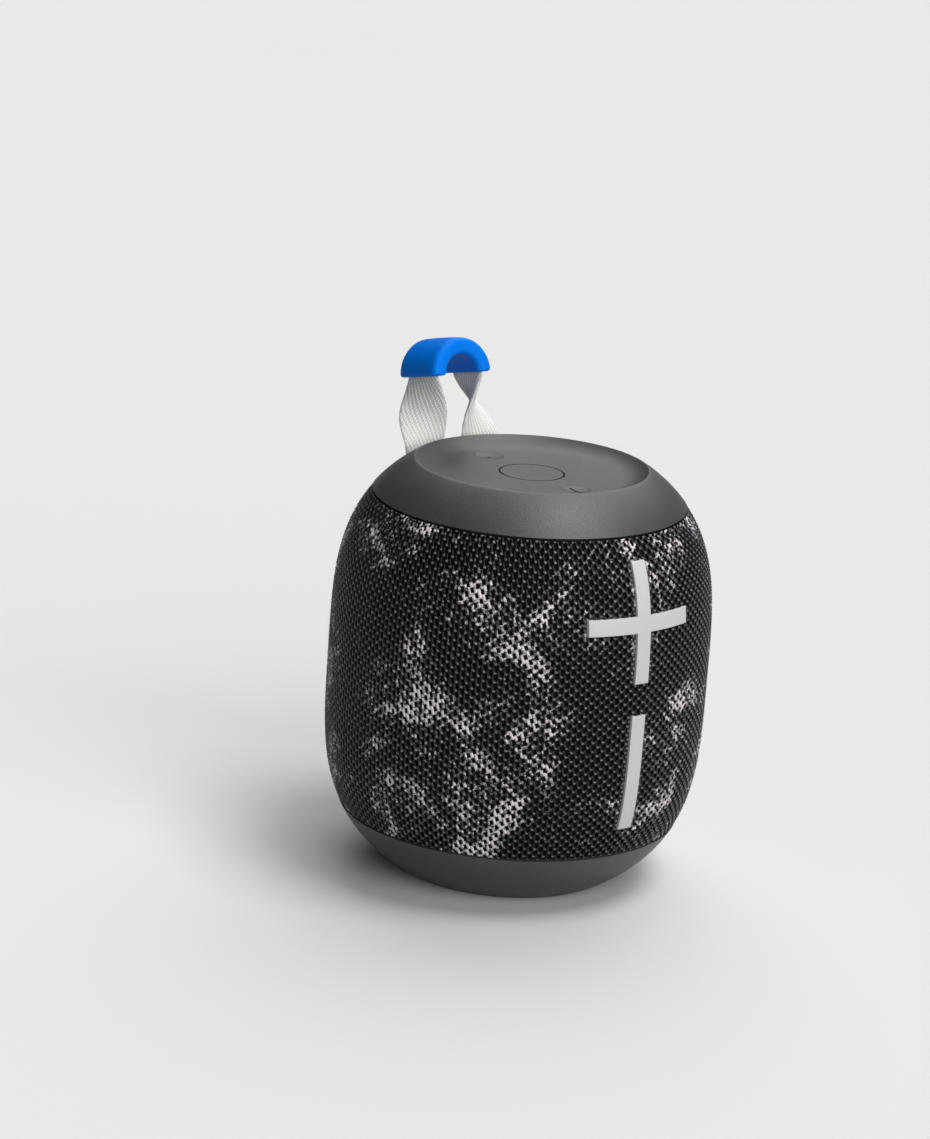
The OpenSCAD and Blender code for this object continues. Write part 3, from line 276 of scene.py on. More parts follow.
def makeKnitYarn():         # polyester yarn, knitted and then printed: near black with broken pale patches, painted shade in its valleys and a painted highlight on its crowns
    material, tree, place = newMaterial("printedPolyesterYarnKnitted")
    patch = addNode(tree, "TexNoise", {"Vector": place, "Scale": perMetre(knit["patch"]), "Detail": 7.0,
                                       "Roughness": 0.66, "Distortion": 0.7})
    crumb = addNode(tree, "TexNoise", {"Vector": place, "Scale": perMetre(knit["crumb"]), "Detail": 3.0,
                                       "Roughness": 0.7})
    stitch = addNode(tree, "TexNoise", {"Vector": place, "Scale": perMetre(knit["stitch"]), "Detail": 1.0})
    broken = addNode(tree, "Math", {0: crumb.outputs[0], 1: knit["crumbShare"], 2: patch.outputs[0]},
                     operation="MULTIPLY_ADD")
    total = addNode(tree, "Math", {0: stitch.outputs[0], 1: knit["stitchShare"], 2: broken.outputs[0]},
                    operation="MULTIPLY_ADD")
    begins, isFull = knit["pale"]
    share = addNode(tree, "MapRange", {0: total.outputs[0], 1: begins, 2: isFull})
    ramp = addNode(tree, "ValToRGB", {0: share.outputs[0]})
    stops = ramp.color_ramp.elements
    for stop, (position, colour) in zip(stops, (knit["tones"][0], knit["tones"][-1])):
        stop.position, stop.color = position, linear(colour)
    for position, colour in knit["tones"][1:-1]:
        stops.new(position).color = linear(colour)
    # painted shade: where the yarn lies low, its print gives way to the near-black valley tone
    relief = addNode(tree, "Attribute", attribute_name="relief").outputs["Fac"]
    low, high = knit["unshaded"]
    reliefUnshaded = addNode(tree, "MapRange", {0: relief, 1: low, 2: high, 3: 0.02, 4: 1.0})
    unshaded = addNode(tree, "Math", {0: share.outputs[0], 1: reliefUnshaded.outputs[0]}, operation="MAXIMUM")
    shadedPrint = addNode(tree, "Mix", {0: unshaded.outputs[0], 6: linear(knit["shadedValley"]), 7: ramp.outputs[0]},
                   data_type="RGBA")
    low, high = knit["rubbed"]      # the painted highlight is stronger on some stitches than on others
    uneven = addNode(tree, "MapRange", {0: stitch.outputs[0], 1: 0.35, 2: 0.65, 3: 0.35, 4: 1.0})
    rubbed = addNode(tree, "MapRange", {0: relief, 1: low, 2: high, 3: 0.0, 4: uneven.outputs[0]})
    # painted highlight: the stitches' crowns are lightened towards a pale grey
    beadGlints = addNode(tree, "Mix", {0: rubbed.outputs[0], 6: shadedPrint.outputs[2], 7: linear(knit["crown"])},
                    data_type="RGBA", blend_type="LIGHTEN")
    fuzz = addNode(tree, "Bump", {"Height": stitch.outputs[0], "Strength": 0.3, "Distance": 0.1 * mm})
    shader = addNode(tree, "BsdfPrincipled", {
        "Base Color": beadGlints.outputs[2], "Normal": fuzz.outputs[0], "Roughness": 0.4,
        "Specular IOR Level": 0.25})
    addNode(tree, "OutputMaterial", {"Surface": shader.outputs[0]})
    return material


volumeKeys = {              # the sleeve's windows follow them too
    "barWidth": 4.05,
    "barLength": 29.4,
    "levelLength": 30.2,
    "plusMiddle": 75.5,
    "minusMiddle": 38.0,
    "proud": 0.2,
    "round": 0.15,
    "flangeDepth": 3.5,     # below the barrel's surface, behind the cage
    "flangeThick": 0.8,
    "flangeWidth": 0.9,
    "stemRadius": 1.8,
    "stemSides": 24,
    "footGap": 0.7,         # from a stem's foot to its switch's plunger, with the travel
}
upright = (volumeKeys["barWidth"] / 2, volumeKeys["barLength"] / 2)
level = (volumeKeys["levelLength"] / 2, volumeKeys["barWidth"] / 2)
portLow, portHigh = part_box("port_frame")

# windows of the sleeve: facing, middle across, half width, middle height, half height
windows = [(-1, 0, upright[0], volumeKeys["plusMiddle"], upright[1]),
           (-1, 0, level[0], volumeKeys["plusMiddle"], level[1]),
           (-1, 0, upright[0], volumeKeys["minusMiddle"], upright[1]),
           (1, (portLow.x + portHigh.x) / 2 / mm, (portHigh.x - portLow.x) / 2 / mm,
            (portLow.z + portHigh.z) / 2 / mm, (portHigh.z - portLow.z) / 2 / mm)]


def inWindow(x, y, z):
    return np.any([(y * facing > 0) & (np.abs(x - middle) < half) & (np.abs(z - height) < tall)
                   for facing, middle, half, height, tall in windows], 0)


def edgeShare(z0, z1):      # where between two heights a window begins, half way if none does
    edges = [height + sign * (tall + knit["endGap"]) for *_, height, tall in windows for sign in (-1, 1)]
    shares = [(edge - z0) / (z1 - z0) for edge in edges]
    return min([share for share in shares if 0 < share < 1], default=0.5)


def makeYarns():            # points with their relief in the fourth column
    count = 2 * knit["holes"]
    rows = round((seamHigh - seamLow) / knit["rowPitch"])
    touch = np.linspace(seamLow - knit["overhang"], seamHigh + knit["overhang"], rows + 1)
    z = (touch[:, None] + knit["run"] * np.array([-1, 0, 1])).ravel()[1:-1]     # from a touch to a touch
    top = np.tile([0, 1, 0], rows + 1)[1:-1]
    swing = knit["swing"] * np.repeat(np.where(np.arange(rows + 1) % 2, 1, -1), 3)[1:-1] / barrel["radius"]
    slant = knit["slant"] * np.tile([1, 0, -1], rows + 1)[1:-1] / barrel["radius"]
    section = np.radians(knit["section"])
    sides = len(section)
    radius, height = barrelSkin(z, knit["depth"])
    half = knit["yarnWidth"] / 2 * (knit["waist"] + knit["swell"] * top) * radius / barrel["radius"]
    points, faces, start = [], [], 0
    for i in range(count):
        straight = 2 * np.pi * (i + 0.5) / count
        x0, y0 = radius * math.sin(straight), -radius * math.cos(straight)
        turned = swing if i % 2 else -swing
        crown = top * np.where(turned > 0, 1, knit["under"])
        over = knit["crossing"] / barrel["radius"] * top * (turned > 0)
        x = radius * np.sin(straight + slant + turned + over)
        ringR = (radius + knit["lift"] * crown)[:, None] + knit["yarnDepth"] / 2 * np.sin(section)
        relief = (knit["lowRelief"] + (1 - knit["lowRelief"]) * crown)[:, None] * knit["sectionRelief"]
        cut = np.zeros(len(z), bool)
        for facing, middle, wide, high, tall in windows:
            near = (y0 * facing > 0) & (np.abs(z - high) < tall + knit["endGap"])
            cut |= near & (np.abs(x0 - middle) < wide - knit["tuck"])
            beside = wide + half + knit["sideGap"]
            pushed = near & ~cut & (np.abs(x0 - middle) < wide + knit["yarnWidth"])
            x = np.where(pushed & (np.abs(x - middle) < beside), middle + np.sign(x0 - middle) * beside, x)
        angle = np.arctan2(x, np.sign(-y0) * np.sqrt(radius ** 2 - x ** 2))
        ringA = angle[:, None] + half[:, None] * np.cos(section) / radius[:, None]
        ring = np.stack([ringR * np.sin(ringA), -ringR * np.cos(ringA), np.repeat(height[:, None], sides, 1),
                         relief], 2)
        ends = np.flatnonzero(np.diff(np.concatenate([[True], cut, [True]]).astype(int)))
        for a, b in zip(ends[::2], ends[1::2]):
            run = list(ring[a:b])
            if a > 0:
                run.insert(0, ring[a] + (ring[a - 1] - ring[a]) * edgeShare(z[a], z[a - 1]))
            if b < len(ring):
                run.append(ring[b - 1] + (ring[b] - ring[b - 1]) * edgeShare(z[b - 1], z[b]))
            if len(run) < knit["fewest"]:
                continue
            points.append(np.concatenate(run))
            faces.extend((gridFaces(len(run), sides, closeColumns=True) + start).tolist())
            last = start + (len(run) - 1) * sides
            faces += [list(range(start + sides - 1, start - 1, -1)), list(range(last, last + sides))]
            start += len(run) * sides
    return np.concatenate(points), faces


def addRelief(piece, values):   # how far each point stands out, for its material, which paints shade where it is low and, on the yarns, a highlight where it is high
    piece.data.attributes.new("relief", "FLOAT", "POINT").data.foreach_set("value", values)


knitYarn = makeKnitYarn()
yarnPoints, yarnFaces = makeYarns()
sleeveYarns = makePiece("sleeve_yarns", yarnPoints[:, :3], yarnFaces, knitYarn, "speaker", "knit_fabric",
                        ["fabric_sleeve"])
addRelief(sleeveYarns, yarnPoints[:, 3])
print("knit sleeve made:", len(yarnFaces), "faces")


# lining of the sleeve, a plain scrim behind the yarns: black and dull; its near-black is partly painted
# shade, so that the holes look deep
def makeLining():
    columns, rows = 4 * knit["holes"], 2 * round((seamHigh - seamLow) / knit["rowPitch"])
    z = np.linspace(seamLow, seamHigh, rows)
    angle = 2 * np.pi * np.arange(columns) / columns
    radius, height = barrelSkin(z, knit["liningDepth"])
    x, y = radius[:, None] * np.sin(angle), -radius[:, None] * np.cos(angle)
    points = np.stack([x, y, np.repeat(height[:, None], columns, 1)], 2).reshape(-1, 3)
    faces = gridFaces(rows, columns, closeColumns=True)
    cut = inWindow(*points.T)[faces].any(1)
    return points, faces[~cut]


liningScrim = mouldedMaterial("blackNylonScrim", {
    "tones": ("#08080a", "#0d0d10"), "cloud": 2.0, "grain": 0.5, "rough": (0.8, 0.9),
    "bump": 0.2, "specular": 0.2})
sleeveLining = makePiece("sleeve_lining", *makeLining(), liningScrim, "speaker", "knit_fabric")
thicken = sleeveLining.modifiers.new("thickness", "SOLIDIFY")
thicken.thickness, thicken.offset = knit["liningThick"] * mm, -1
print("sleeve lining made")


# volume keys: satin bars that follow the barrel, with a small round on their edges, a flange and a stem
def keyPlate(rects, top, low, edge):    # half sizes of the bars; heights above what the plate lies on
    inset = edge * np.array([0, 0.08, 0.3, 0.62, 1])    # closer together towards the edge
    evenLines = 41          # besides those of the edges

    def gridLines(axis):
        marks = [side * (rect[axis] - sign * inset) for rect in rects for side in (-1, 1) for sign in (-1, 1)]
        reach = max(rect[axis] for rect in rects)
        marks = np.unique(np.round(np.concatenate(marks + [np.linspace(-reach, reach, evenLines)]), 4))
        return marks[np.abs(marks) <= reach]

    x, z = [a.ravel() for a in np.meshgrid(gridLines(0), gridLines(1))]
    rows, columns = len(gridLines(1)), len(gridLines(0))
    fromEdge = np.max([np.minimum(w - np.abs(x), h - np.abs(z)) for w, h in rects], 0)
    if len(rects) > 1:      # where the bars cross, the inner corner is the nearest edge
        w, h = np.min(rects, 0)
        crossing = (np.abs(x) < w) & (np.abs(z) < h)
        fromEdge = np.where(crossing, np.hypot(w - np.abs(x), h - np.abs(z)), fromEdge)
    short = edge - np.clip(fromEdge, 0, edge)
    drop = edge - np.sqrt(edge ** 2 - short ** 2)
    faces = gridFaces(rows, columns)
    midX, midZ = np.abs(x[faces].mean(1)), np.abs(z[faces].mean(1))
    faces = faces[np.any([(midX < w) & (midZ < h) for w, h in rects], 0)]
    used, faces = np.unique(faces, return_inverse=True)
    faces, count = faces.reshape(-1, 4), len(used)
    points = [np.stack([x, z, height], 1)[used] for height in (top - drop, np.full_like(x, low))]
    edges = np.concatenate([faces[:, [i, (i + 1) % 4]] for i in range(4)])
    _, first, times = np.unique(np.sort(edges, 1), axis=0, return_index=True, return_counts=True)
    rim = edges[first[times == 1]]
    sides = np.concatenate([rim, rim[:, ::-1] + count], 1)
    return np.concatenate(points), np.concatenate([faces, faces + count, sides])


def onFront(points, middle):    # across, up from the middle and out from the surface, laid on the front
    x, z, out = points[:, 0], points[:, 1] + middle, points[:, 2]
    radius = barrelRadius(z) + out * np.sqrt(1 + barrelSlope(z) ** 2)
    return np.stack([x, -np.sqrt(radius ** 2 - x ** 2), z], 1)


def joined(parts):
    starts = np.cumsum([0] + [len(points) for points, _ in parts])
    faces = [face for (_, part), start in zip(parts, starts) for face in (part + start).tolist()]
    return np.concatenate([points for points, _ in parts]), faces


def makeVolumeKey(name, node, middle, rects):
    look = volumeKeys
    flangeTop = -look["flangeDepth"]
    grown = [(w + look["flangeWidth"], h + look["flangeWidth"]) for w, h in rects]
    bar, barFaces = keyPlate(rects, look["proud"], flangeTop - look["round"], look["round"])
    flange, flangeFaces = keyPlate(grown, flangeTop, flangeTop - look["flangeThick"], look["round"] / 2)
    sides = look["stemSides"]
    turn = 2 * np.pi * np.arange(sides) / sides
    plunger = -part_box("volume_switches")[0].y / mm
    reach = (plunger + look["footGap"], barrelRadius(middle) + flangeTop)
    stem = np.concatenate([np.stack([look["stemRadius"] * np.cos(turn), np.full(sides, -r),
                                     middle + look["stemRadius"] * np.sin(turn)], 1) for r in reach])
    parts = [(onFront(bar, middle), barFaces), (onFront(flange, middle), flangeFaces),
             (stem, gridFaces(2, sides, closeColumns=True))]
    points, faces = joined(parts)
    faces.append(list(range(len(points) - 2 * sides, len(points) - sides)))     # the stem's foot
    key = makePiece(name, points, faces, keyAbs, node, "key_plastic", [node])
    splitSharp(key, keyEdge)


makeVolumeKey("plus_key", "volume_up_key", volumeKeys["plusMiddle"], [upright, level])
makeVolumeKey("minus_key", "volume_down_key", volumeKeys["minusMiddle"], [upright])
print("volume keys made")

# small keys of the top: each has a shallow hollow, the power key a slit of light and the pairing key a dot
smallKeys = {
    "hollow": 0.45,         # depth in the middle
    "rings": 20,            # from its middle to its edge
    "core": 0.05,           # share of the radius where the rings begin
    "baseCore": 0.1,
    "flangeWide": 1.2,
    "flangeThick": 0.9,
    "lensProud": 0.02,
    "lensRound": 0.1,
    "dotRadius": 0.55,
    "dotRound": 0.08,
    "dotDepth": 1.0,
    "dotCore": 0.05,
    "dotSides": 24,
}
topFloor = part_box("centre_key")[1].z / mm


def hollowHeight(r, keyRadius):
    return topFloor - smallKeys["hollow"] * (1 - np.minimum(r / keyRadius, 1) ** 2)


def revolved(profile, middle, segments=64):     # radius and height from the top's middle round to the base's
    turn = 2 * np.pi * np.arange(segments) / segments
    circle = np.stack([np.cos(turn), np.sin(turn)], 1)
    points = [np.column_stack([middle[:2] + r * circle, np.full(segments, z)]) for r, z in profile]
    faces = gridFaces(len(profile), segments, closeColumns=True).tolist()
    last = (len(profile) - 1) * segments
    return np.concatenate(points), faces + [list(range(segments)), list(range(last, last + segments))]


def makeSmallKey(name, node):
    look = smallKeys
    low, high = [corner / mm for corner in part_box(node)]
    middle, flange = (low + high) / 2, (high.x - low.x) / 2
    radius = flange - look["flangeWide"]
    shelf = low.z + look["flangeThick"]
    hollow = [(r, hollowHeight(r, radius)) for r in np.linspace(look["core"], 1, look["rings"]) * radius]
    profile = hollow + [(radius, shelf), (flange, shelf), (flange, low.z), (look["baseCore"], low.z)]
    key = makePiece(name, *revolved(profile, middle), softTouch, node, "cap_skin", [node])
    splitSharp(key, keyEdge)
    return middle, radius


def makeSlit(middle, keyRadius):        # follows the hollow
    low, high = [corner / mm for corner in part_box("status_light")]
    points, faces = keyPlate([((high.x - low.x) / 2, (high.y - low.y) / 2)], smallKeys["lensProud"],
                             low.z - topFloor + smallKeys["hollow"], smallKeys["lensRound"])
    x, y, out = points.T
    return np.stack([x + middle.x, y + middle.y, out + hollowHeight(np.hypot(x, y), keyRadius)], 1), faces


def makeDot(middle):
    look = smallKeys
    top, wide, core = topFloor - look["hollow"] + look["lensProud"], look["dotRadius"], look["dotCore"]
    low = top - look["dotDepth"]
    rounded = [(wide - look["dotRound"], top), (wide, top - look["dotRound"])]
    profile = [(core, top), *rounded, (wide, low), (core, low)]
    return revolved(profile, middle, look["dotSides"])


lens = slotMaterials["light_plastic"]
slit = makeSlit(*makeSmallKey("power_button", "power_key"))
makePiece("power_lens", *slit, lens, "power_key", "light_plastic", ["status_light"])
pairingMiddle, _ = makeSmallKey("pairing_button", "pairing_key")
makePiece("pairing_lens", *makeDot(pairingMiddle), lens, "pairing_key", "light_plastic")
print("small keys made")

# carry loop: one woven ribbon from foot to foot, folded round the anchor bar, under a moulded grip
loop = {
    "bar": [v / mm for v in (sum(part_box("strap_bar"), Vector()) / 2)],
    "barRadius": 1.3,       # with the room in the strap's eye
    "lean": 14.0,
    "rise": 22.7,           # from the bar to the middle of the arch
    "archRadius": 7.0,
    "footX": 8.8,
    "foldTop": 6.0,
    "foldEnd": 2.6,         # height of the folded end above the bar
    "eyeTop": 2.6,          # where the two layers meet above the bar
    "settle": 9.0,          # height over which the outer layer moves to the middle
    "twist": (6.0, 22.7),   # where each leg makes its quarter turn
    "webWidth": 12.2,
    "webThick": 1.35,
    "edgeShape": 8,         # higher is a squarer edge
    "plainEdge": 0.3,       # half thickness below which the edge has no floats
    "picot": 0.1,           # of the edge's small waves
    "picotShare": 0.97,     # of the half width, where they begin
    "warpEnds": 22,
    "floatRepeat": 1.35,    # along the strap
    "floatSteps": 6,        # rows of points in each repeat
    "sunk": 0.15,           # share of a float's height where it goes under
    "floatShape": (0.55, 0.7),          # level and sway of its height, cut off at 0 and 1
    "floatLean": -0.5,      # sideways for each millimetre along the strap
    "bead": 0.24,           # height of a float
    "soil": 6,              # size of the strap's clouded tone
    "fibre": 0.35,          # real fibre is finer, this is as coarse as it needs to be to show
    "fibreShare": 0.5,
    "dull": (0.5, "#e6e5e3"),
    "clean": (0.95, "#f4f4f2"),
    # painted shade: the darker tone in the valleys between the floats
    "shadedValley": "#c6c5c2",
    "valleyRelief": (0.1, 0.6),         # the painted valley shade fades out over this
    "gripWidth": 15.5,
    "gripThick": 4.2,
    "gripRound": 1.35,
    "gripCrown": 0.22,
    "gripEnd": 0.7,
    "tunnelGap": 0.25,
    "tunnelRound": 0.3,
}


def smoothStep(u):
    v = np.clip(u, 0, 1)
    return v * v * (3 - 2 * v)


def fromLoop(points):       # the loop's own frame, bar at the origin, to the speaker's
    lean = math.radians(loop["lean"])
    x, y, z = np.moveaxis(points, -1, 0)
    return np.stack([x + loop["bar"][0], loop["bar"][1] + y * math.cos(lean) + z * math.sin(lean),
                     loop["bar"][2] - y * math.sin(lean) + z * math.cos(lean)], -1)


def legFrames(side):        # middle, width direction and outer side, from the fold's free end up to the arch
    near, eye = loop["webThick"] / 2, loop["barRadius"] + loop["webThick"] / 2
    fold, rise = loop["foldTop"], loop["rise"]
    down = np.linspace(loop["foldEnd"], 0, 8)[:-1]
    turn = np.linspace(0, np.pi, 16)
    up = np.linspace(0, fold, 14)[1:]
    high = np.linspace(fold, rise, 60)[1:]

    def spread(s):          # the two layers part to go round the bar
        return near + (eye - near) * (1 - smoothStep(s / loop["eyeTop"]))

    settled = smoothStep((high - fold) / loop["settle"])
    y = np.concatenate([spread(down), eye * np.cos(turn), -spread(up), -near * (1 - settled)])
    s = np.concatenate([down, -eye * np.sin(turn), up, high])
    share = np.clip((s - loop["twist"][0]) / (loop["twist"][1] - loop["twist"][0]), 0, 1)
    a = np.pi / 4 * (share + smoothStep(share))
    x = loop["footX"] + (loop["archRadius"] - loop["footX"]) * smoothStep((s - fold) / (rise - fold))
    middle = np.stack([side * x, y, s], 1)
    wide = np.stack([side * np.cos(a), np.sin(a), 0 * a], 1)
    dy, ds = np.gradient(y), np.gradient(s)
    flat = np.stack([0 * a, -ds, dy], 1) / np.hypot(dy, ds)[:, None]
    turned = np.stack([side * np.sin(a), -np.cos(a), 0 * a], 1)
    outer = np.where((a > 0)[:, None], turned, flat)
    return middle, wide, outer


def strapFrames():
    a = np.linspace(0, np.pi, 40)[1:-1]
    zero = 0 * a
    outwards = np.stack([np.cos(a), zero, np.sin(a)], 1)
    arch = (np.array([0, 0, loop["rise"]]) + loop["archRadius"] * outwards,
            np.stack([zero, zero + 1, zero], 1), outwards)
    right, left = legFrames(1), legFrames(-1)
    frames = [np.concatenate([r, m, l[::-1]]) for r, m, l in zip(right, arch, left)]
    along = np.concatenate([[0], np.cumsum(np.linalg.norm(np.diff(frames[0], axis=0), axis=1))])
    v = np.linspace(0, along[-1], round(along[-1] / loop["floatRepeat"] * loop["floatSteps"]) + 1)
    middle, wide, outer = [np.stack([np.interp(v, along, f[:, i]) for i in range(3)], 1) for f in frames]
    wide /= np.linalg.norm(wide, axis=1)[:, None]
    outer -= wide * (outer * wide).sum(1)[:, None]
    outer /= np.linalg.norm(outer, axis=1)[:, None]
    return v, middle, wide, outer


def makeStrap():
    v, middle, wide, outer = strapFrames()
    ends = loop["warpEnds"]
    half = np.linspace(0, 1, 4 * ends + 1)
    share = np.concatenate([half, half[-2:0:-1]])           # across and back round the other face
    face = np.concatenate([np.ones(len(half)), -np.ones(len(half) - 2)])
    cross = share * ends + v[:, None] * loop["floatLean"] * ends / loop["webWidth"]
    ridge = np.abs(np.sin(np.pi * cross))
    phase = v[:, None] / loop["floatRepeat"] + np.floor(cross) / 2 + np.where(face > 0, 0, 0.5)
    floating = np.clip(loop["floatShape"][0] + loop["floatShape"][1] * np.cos(2 * np.pi * phase), 0, 1)
    relief = ridge * (loop["sunk"] + (1 - loop["sunk"]) * floating)
    toEdge = np.abs(2 * share - 1)
    thick = loop["webThick"] / 2 * np.sqrt(1 - toEdge ** loop["edgeShape"])
    bead = loop["bead"] * relief * (thick > loop["plainEdge"])
    out = face * (np.maximum(thick - loop["bead"] / 2, 0) + bead)
    wave = np.cos(4 * np.pi * v / loop["floatRepeat"])[:, None] * (toEdge > loop["picotShare"])
    across = (share - 0.5) * (loop["webWidth"] - loop["picot"]) + np.sign(share - 0.5) * loop["picot"] * wave
    points = middle[:, None] + wide[:, None] * across[..., None] + outer[:, None] * out[..., None]
    rows, columns = points.shape[:2]
    faces = gridFaces(rows, columns, closeColumns=True).tolist()
    faces += [list(range(columns)), list(range((rows - 1) * columns, rows * columns))]
    return fromLoop(points).reshape(-1, 3), faces, relief.ravel(), v[-1]


def makeWebbing():          # spun polyester, woven: off-white, dull, each float with a faint run of fibres, and painted shade in the valleys between the floats
    material, tree, place = newMaterial("offWhitePolyesterWoven")
    soil = addNode(tree, "TexNoise", {"Vector": place, "Scale": perMetre(loop["soil"]), "Detail": 3.0})
    fibre = addNode(tree, "TexNoise", {"Vector": place, "Scale": perMetre(loop["fibre"]), "Detail": 2.0})
    blend = addNode(tree, "Math", {0: fibre.outputs[0], 1: loop["fibreShare"], 2: soil.outputs[0]},
                    operation="MULTIPLY_ADD")
    tone = addNode(tree, "ValToRGB", {0: blend.outputs[0]})
    for stop, (position, colour) in zip(tone.color_ramp.elements, (loop["dull"], loop["clean"])):
        stop.position, stop.color = position, linear(colour)
    # painted shade: where the strap's relief is low, its tone darkens towards the valley tone
    relief = addNode(tree, "Attribute", attribute_name="relief").outputs["Fac"]
    low, high = loop["valleyRelief"]
    depth = addNode(tree, "MapRange", {0: relief, 1: low, 2: high})
    shadedTone = addNode(tree, "Mix", {0: depth.outputs[0], 6: linear(loop["shadedValley"]), 7: tone.outputs[0]},
                   data_type="RGBA")
    bump = addNode(tree, "Bump", {"Height": fibre.outputs[0], "Strength": 0.35, "Distance": 0.08 * mm})
    shader = addNode(tree, "BsdfPrincipled", {
        "Base Color": shadedTone.outputs[2], "Normal": bump.outputs[0], "Roughness": 0.7, "Sheen Weight": 0.15})
    addNode(tree, "OutputMaterial", {"Surface": shader.outputs[0]})
    return material


def sectionRing(halfThick, halfWide, corner, crown=0):      # outwards and across, outer corner first
    arc, run = np.linspace(0, np.pi / 2, 6), np.linspace(1, -1, 10)[1:-1] * (halfWide - corner)
    ring = []
    for quarter, (sx, sy) in enumerate([(1, 1), (-1, 1), (-1, -1), (1, -1)]):
        turn = arc + quarter * np.pi / 2
        ring.append(np.stack([sx * (halfThick - corner) + corner * np.cos(turn),
                              sy * (halfWide - corner) + corner * np.sin(turn)], 1))
        if sx * sy < 0:     # the long face that follows this corner
            ring.append(np.stack([np.full(len(run), sx * halfThick), sy * run], 1))
    ring = np.concatenate(ring)
    ring[:, 0] += np.where(ring[:, 0] > 0, crown * (1 - (ring[:, 1] / halfWide) ** 2), 0)
    return ring


def makeGrip():
    length, end = math.pi * loop["archRadius"], loop["gripEnd"]
    k = np.linspace(np.pi / 2, 0, 5)
    ends = list(zip(end * (1 - np.sin(k)), end * (1 - np.cos(k))))
    run = [(s, 0) for s in np.linspace(end, length - end, 45)[1:-1]]
    outside = ends + run + [(length - s, inset) for s, inset in reversed(ends)]
    rings = []
    for s, inset in outside:
        rings.append((s, sectionRing(loop["gripThick"] / 2 - inset, loop["gripWidth"] / 2 - inset,
                                     loop["gripRound"] - inset / 2, loop["gripCrown"])))
    gap = loop["tunnelGap"]
    tunnel = sectionRing(loop["webThick"] / 2 + gap, loop["webWidth"] / 2 + gap, loop["tunnelRound"])
    rings += [(s, tunnel) for s in np.linspace(length, 0, 30)]
    points = []
    for s, ring in rings:
        a, radius = s / loop["archRadius"], loop["archRadius"] + ring[:, 0]
        points.append(np.stack([radius * math.cos(a), ring[:, 1], loop["rise"] + radius * math.sin(a)], 1))
    points = np.array(points)
    return fromLoop(points).reshape(-1, 3), gridFaces(*points.shape[:2], closeRows=True, closeColumns=True)


grip = makePiece("loop_grip", *makeGrip(), gripRubber, "carry_loop", "grip_rubber", ["strap_grip"])
strapPoints, strapFaces, strapRelief, strapLength = makeStrap()
strap = makePiece("loop_webbing", strapPoints, strapFaces, makeWebbing(), "carry_loop", "webbing",
                  ["carry_strap"])
addRelief(strap, strapRelief)
print("carry loop made, strap length in mm:", round(strapLength, 1))

# stage: pale floor, soft lamps and the camera of the photograph
view = {
    "azimuth": -39.1, "elevation": 17.15, "roll": 4.34,    # degrees
    "distance": 0.947, "target": (0, 0, 0.052),             # metres
    "frame": (930, 1139), "focal": 3783, "targetPixel": (517.4, 664.0),    # pixels
    "film": 36,                                             # millimetres
}


def makeCamera():
    a, e, roll = [math.radians(view[k]) for k in ("azimuth", "elevation", "roll")]
    back = Vector((math.sin(a) * math.cos(e), -math.cos(a) * math.cos(e), math.sin(e)))
    levelRight = Vector((math.cos(a), math.sin(a), 0))
    levelUp = back.cross(levelRight)
    right = levelRight * math.cos(roll) + levelUp * math.sin(roll)
    up = back.cross(right)
    offset = [view["targetPixel"][i] - view["frame"][i] / 2 for i in (0, 1)]
    aim = Vector((offset[0], -offset[1], -view["focal"]))
    facing = Matrix((right, up, back)).transposed() @ aim.rotation_difference(Vector((0, 0, -1))).to_matrix()
    place = Vector(view["target"]) + back * view["distance"]
    camera = bpy.data.objects.new("camera", bpy.data.cameras.new("camera"))
    camera.matrix_world = Matrix.Translation(place) @ facing.to_4x4()
    camera.data.sensor_width = view["film"]
    camera.data.lens = view["focal"] / max(view["frame"]) * camera.data.sensor_width
    bpy.context.scene.collection.objects.link(camera)
    bpy.context.scene.camera = camera
    return right, back


imageRight, towardsCamera = makeCamera()

# direction (the picture's right, up, towards the camera), softness in degrees, strength
lamps = {
    "highSun": ((0.33, 0.91, 0.11), 25, 1.4),
    "frontSun": ((0.5, 0.1, 0.87), 60, 2.3),
    "backSun": ((0.1, 0.9, -0.6), 60, 1.6),
}
for name, (place, softness, strength) in lamps.items():
    data = bpy.data.lights.new(name, "SUN")
    data.angle, data.energy = math.radians(softness), strength
    lamp = bpy.data.objects.new(name, data)
    towards = imageRight * place[0] + Vector((0, 0, place[1])) + towardsCamera * place[2]
    lamp.rotation_mode = "QUATERNION"
    lamp.rotation_quaternion = (-towards).to_track_quat("-Z", "Y")
    bpy.context.scene.collection.objects.link(lamp)

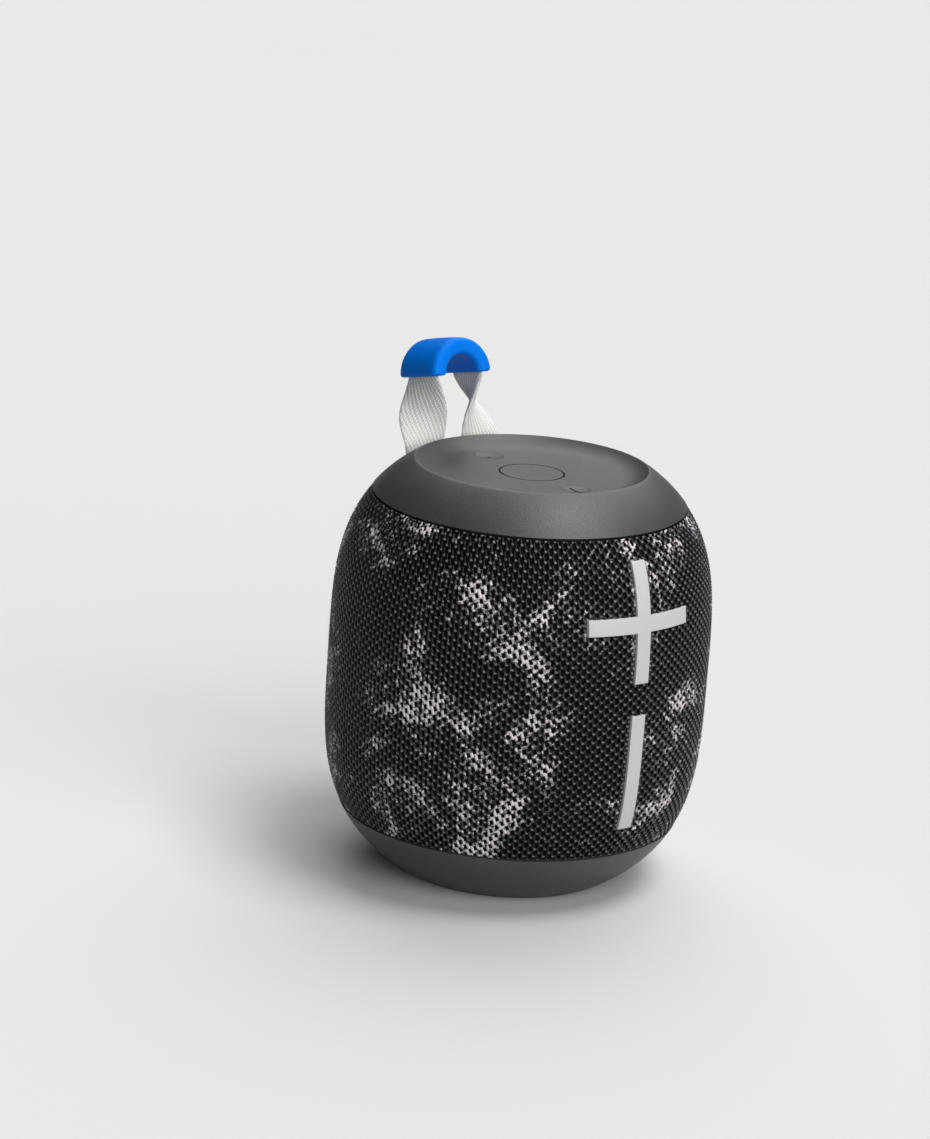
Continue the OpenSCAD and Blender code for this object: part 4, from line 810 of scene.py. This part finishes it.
fill = {"left": 0.01, "right": 0.04, "tone": "#f2f2f1"}     # darker on the picture's left
world = bpy.data.worlds.new("studio")
bpy.context.scene.world = world
world.use_nodes = True
sky = world.node_tree
toRight = addNode(sky, "VectorMath", {0: addNode(sky, "TexCoord").outputs["Generated"], 1: imageRight},
                  operation="DOT_PRODUCT")
brightness = addNode(sky, "MapRange", {0: toRight.outputs["Value"], 1: -1.0, 2: 1.0,
                                       3: fill["left"], 4: fill["right"]})
background = sky.nodes["Background"].inputs
background["Color"].default_value = linear(fill["tone"])
sky.links.new(brightness.outputs[0], background["Strength"])

floorLook = {
    "half": 6000,           # millimetres, as is the next
    "cloud": 333.3,
    "tones": ("#dddddc", "#e0e0df"),
    "thrown": "#8c8c8b",    # the pale tones are for the eye, the light that it throws back is held down
}


def makeFloor():            # heavy uncoated paper: pale, even and matt, it takes a soft shadow
    material, tree, place = newMaterial("palePaperUncoated")
    cloud = addNode(tree, "TexNoise", {"Vector": place, "Scale": perMetre(floorLook["cloud"])})
    dark, pale = [linear(tone) for tone in floorLook["tones"]]
    tone = addNode(tree, "Mix", {0: cloud.outputs[0], 6: dark, 7: pale}, data_type="RGBA")
    path = addNode(tree, "LightPath")
    seen = path.outputs["Is Camera Ray"]
    for other in ("Is Glossy Ray", "Is Transmission Ray"):
        seen = addNode(tree, "Math", {0: seen, 1: path.outputs[other]}, operation="MAXIMUM").outputs[0]
    kept = addNode(tree, "Mix", {0: seen, 6: linear(floorLook["thrown"]), 7: tone.outputs[2]},
                   data_type="RGBA")
    shader = addNode(tree, "BsdfPrincipled", {
        "Base Color": kept.outputs[2], "Roughness": 0.9, "Specular IOR Level": 0.1})
    addNode(tree, "OutputMaterial", {"Surface": shader.outputs[0]})
    mesh = bpy.data.meshes.new("floor")
    half = floorLook["half"] * mm
    corners = [(-half, -half, 0), (half, -half, 0), (half, half, 0), (-half, half, 0)]
    mesh.from_pydata(corners, [], [(0, 1, 2, 3)])
    mesh.materials.append(material)
    floor = bpy.data.objects.new("floor", mesh)
    bpy.context.scene.collection.objects.link(floor)


makeFloor()
bpy.context.scene.view_settings.view_transform = "Standard"
print("stage made")
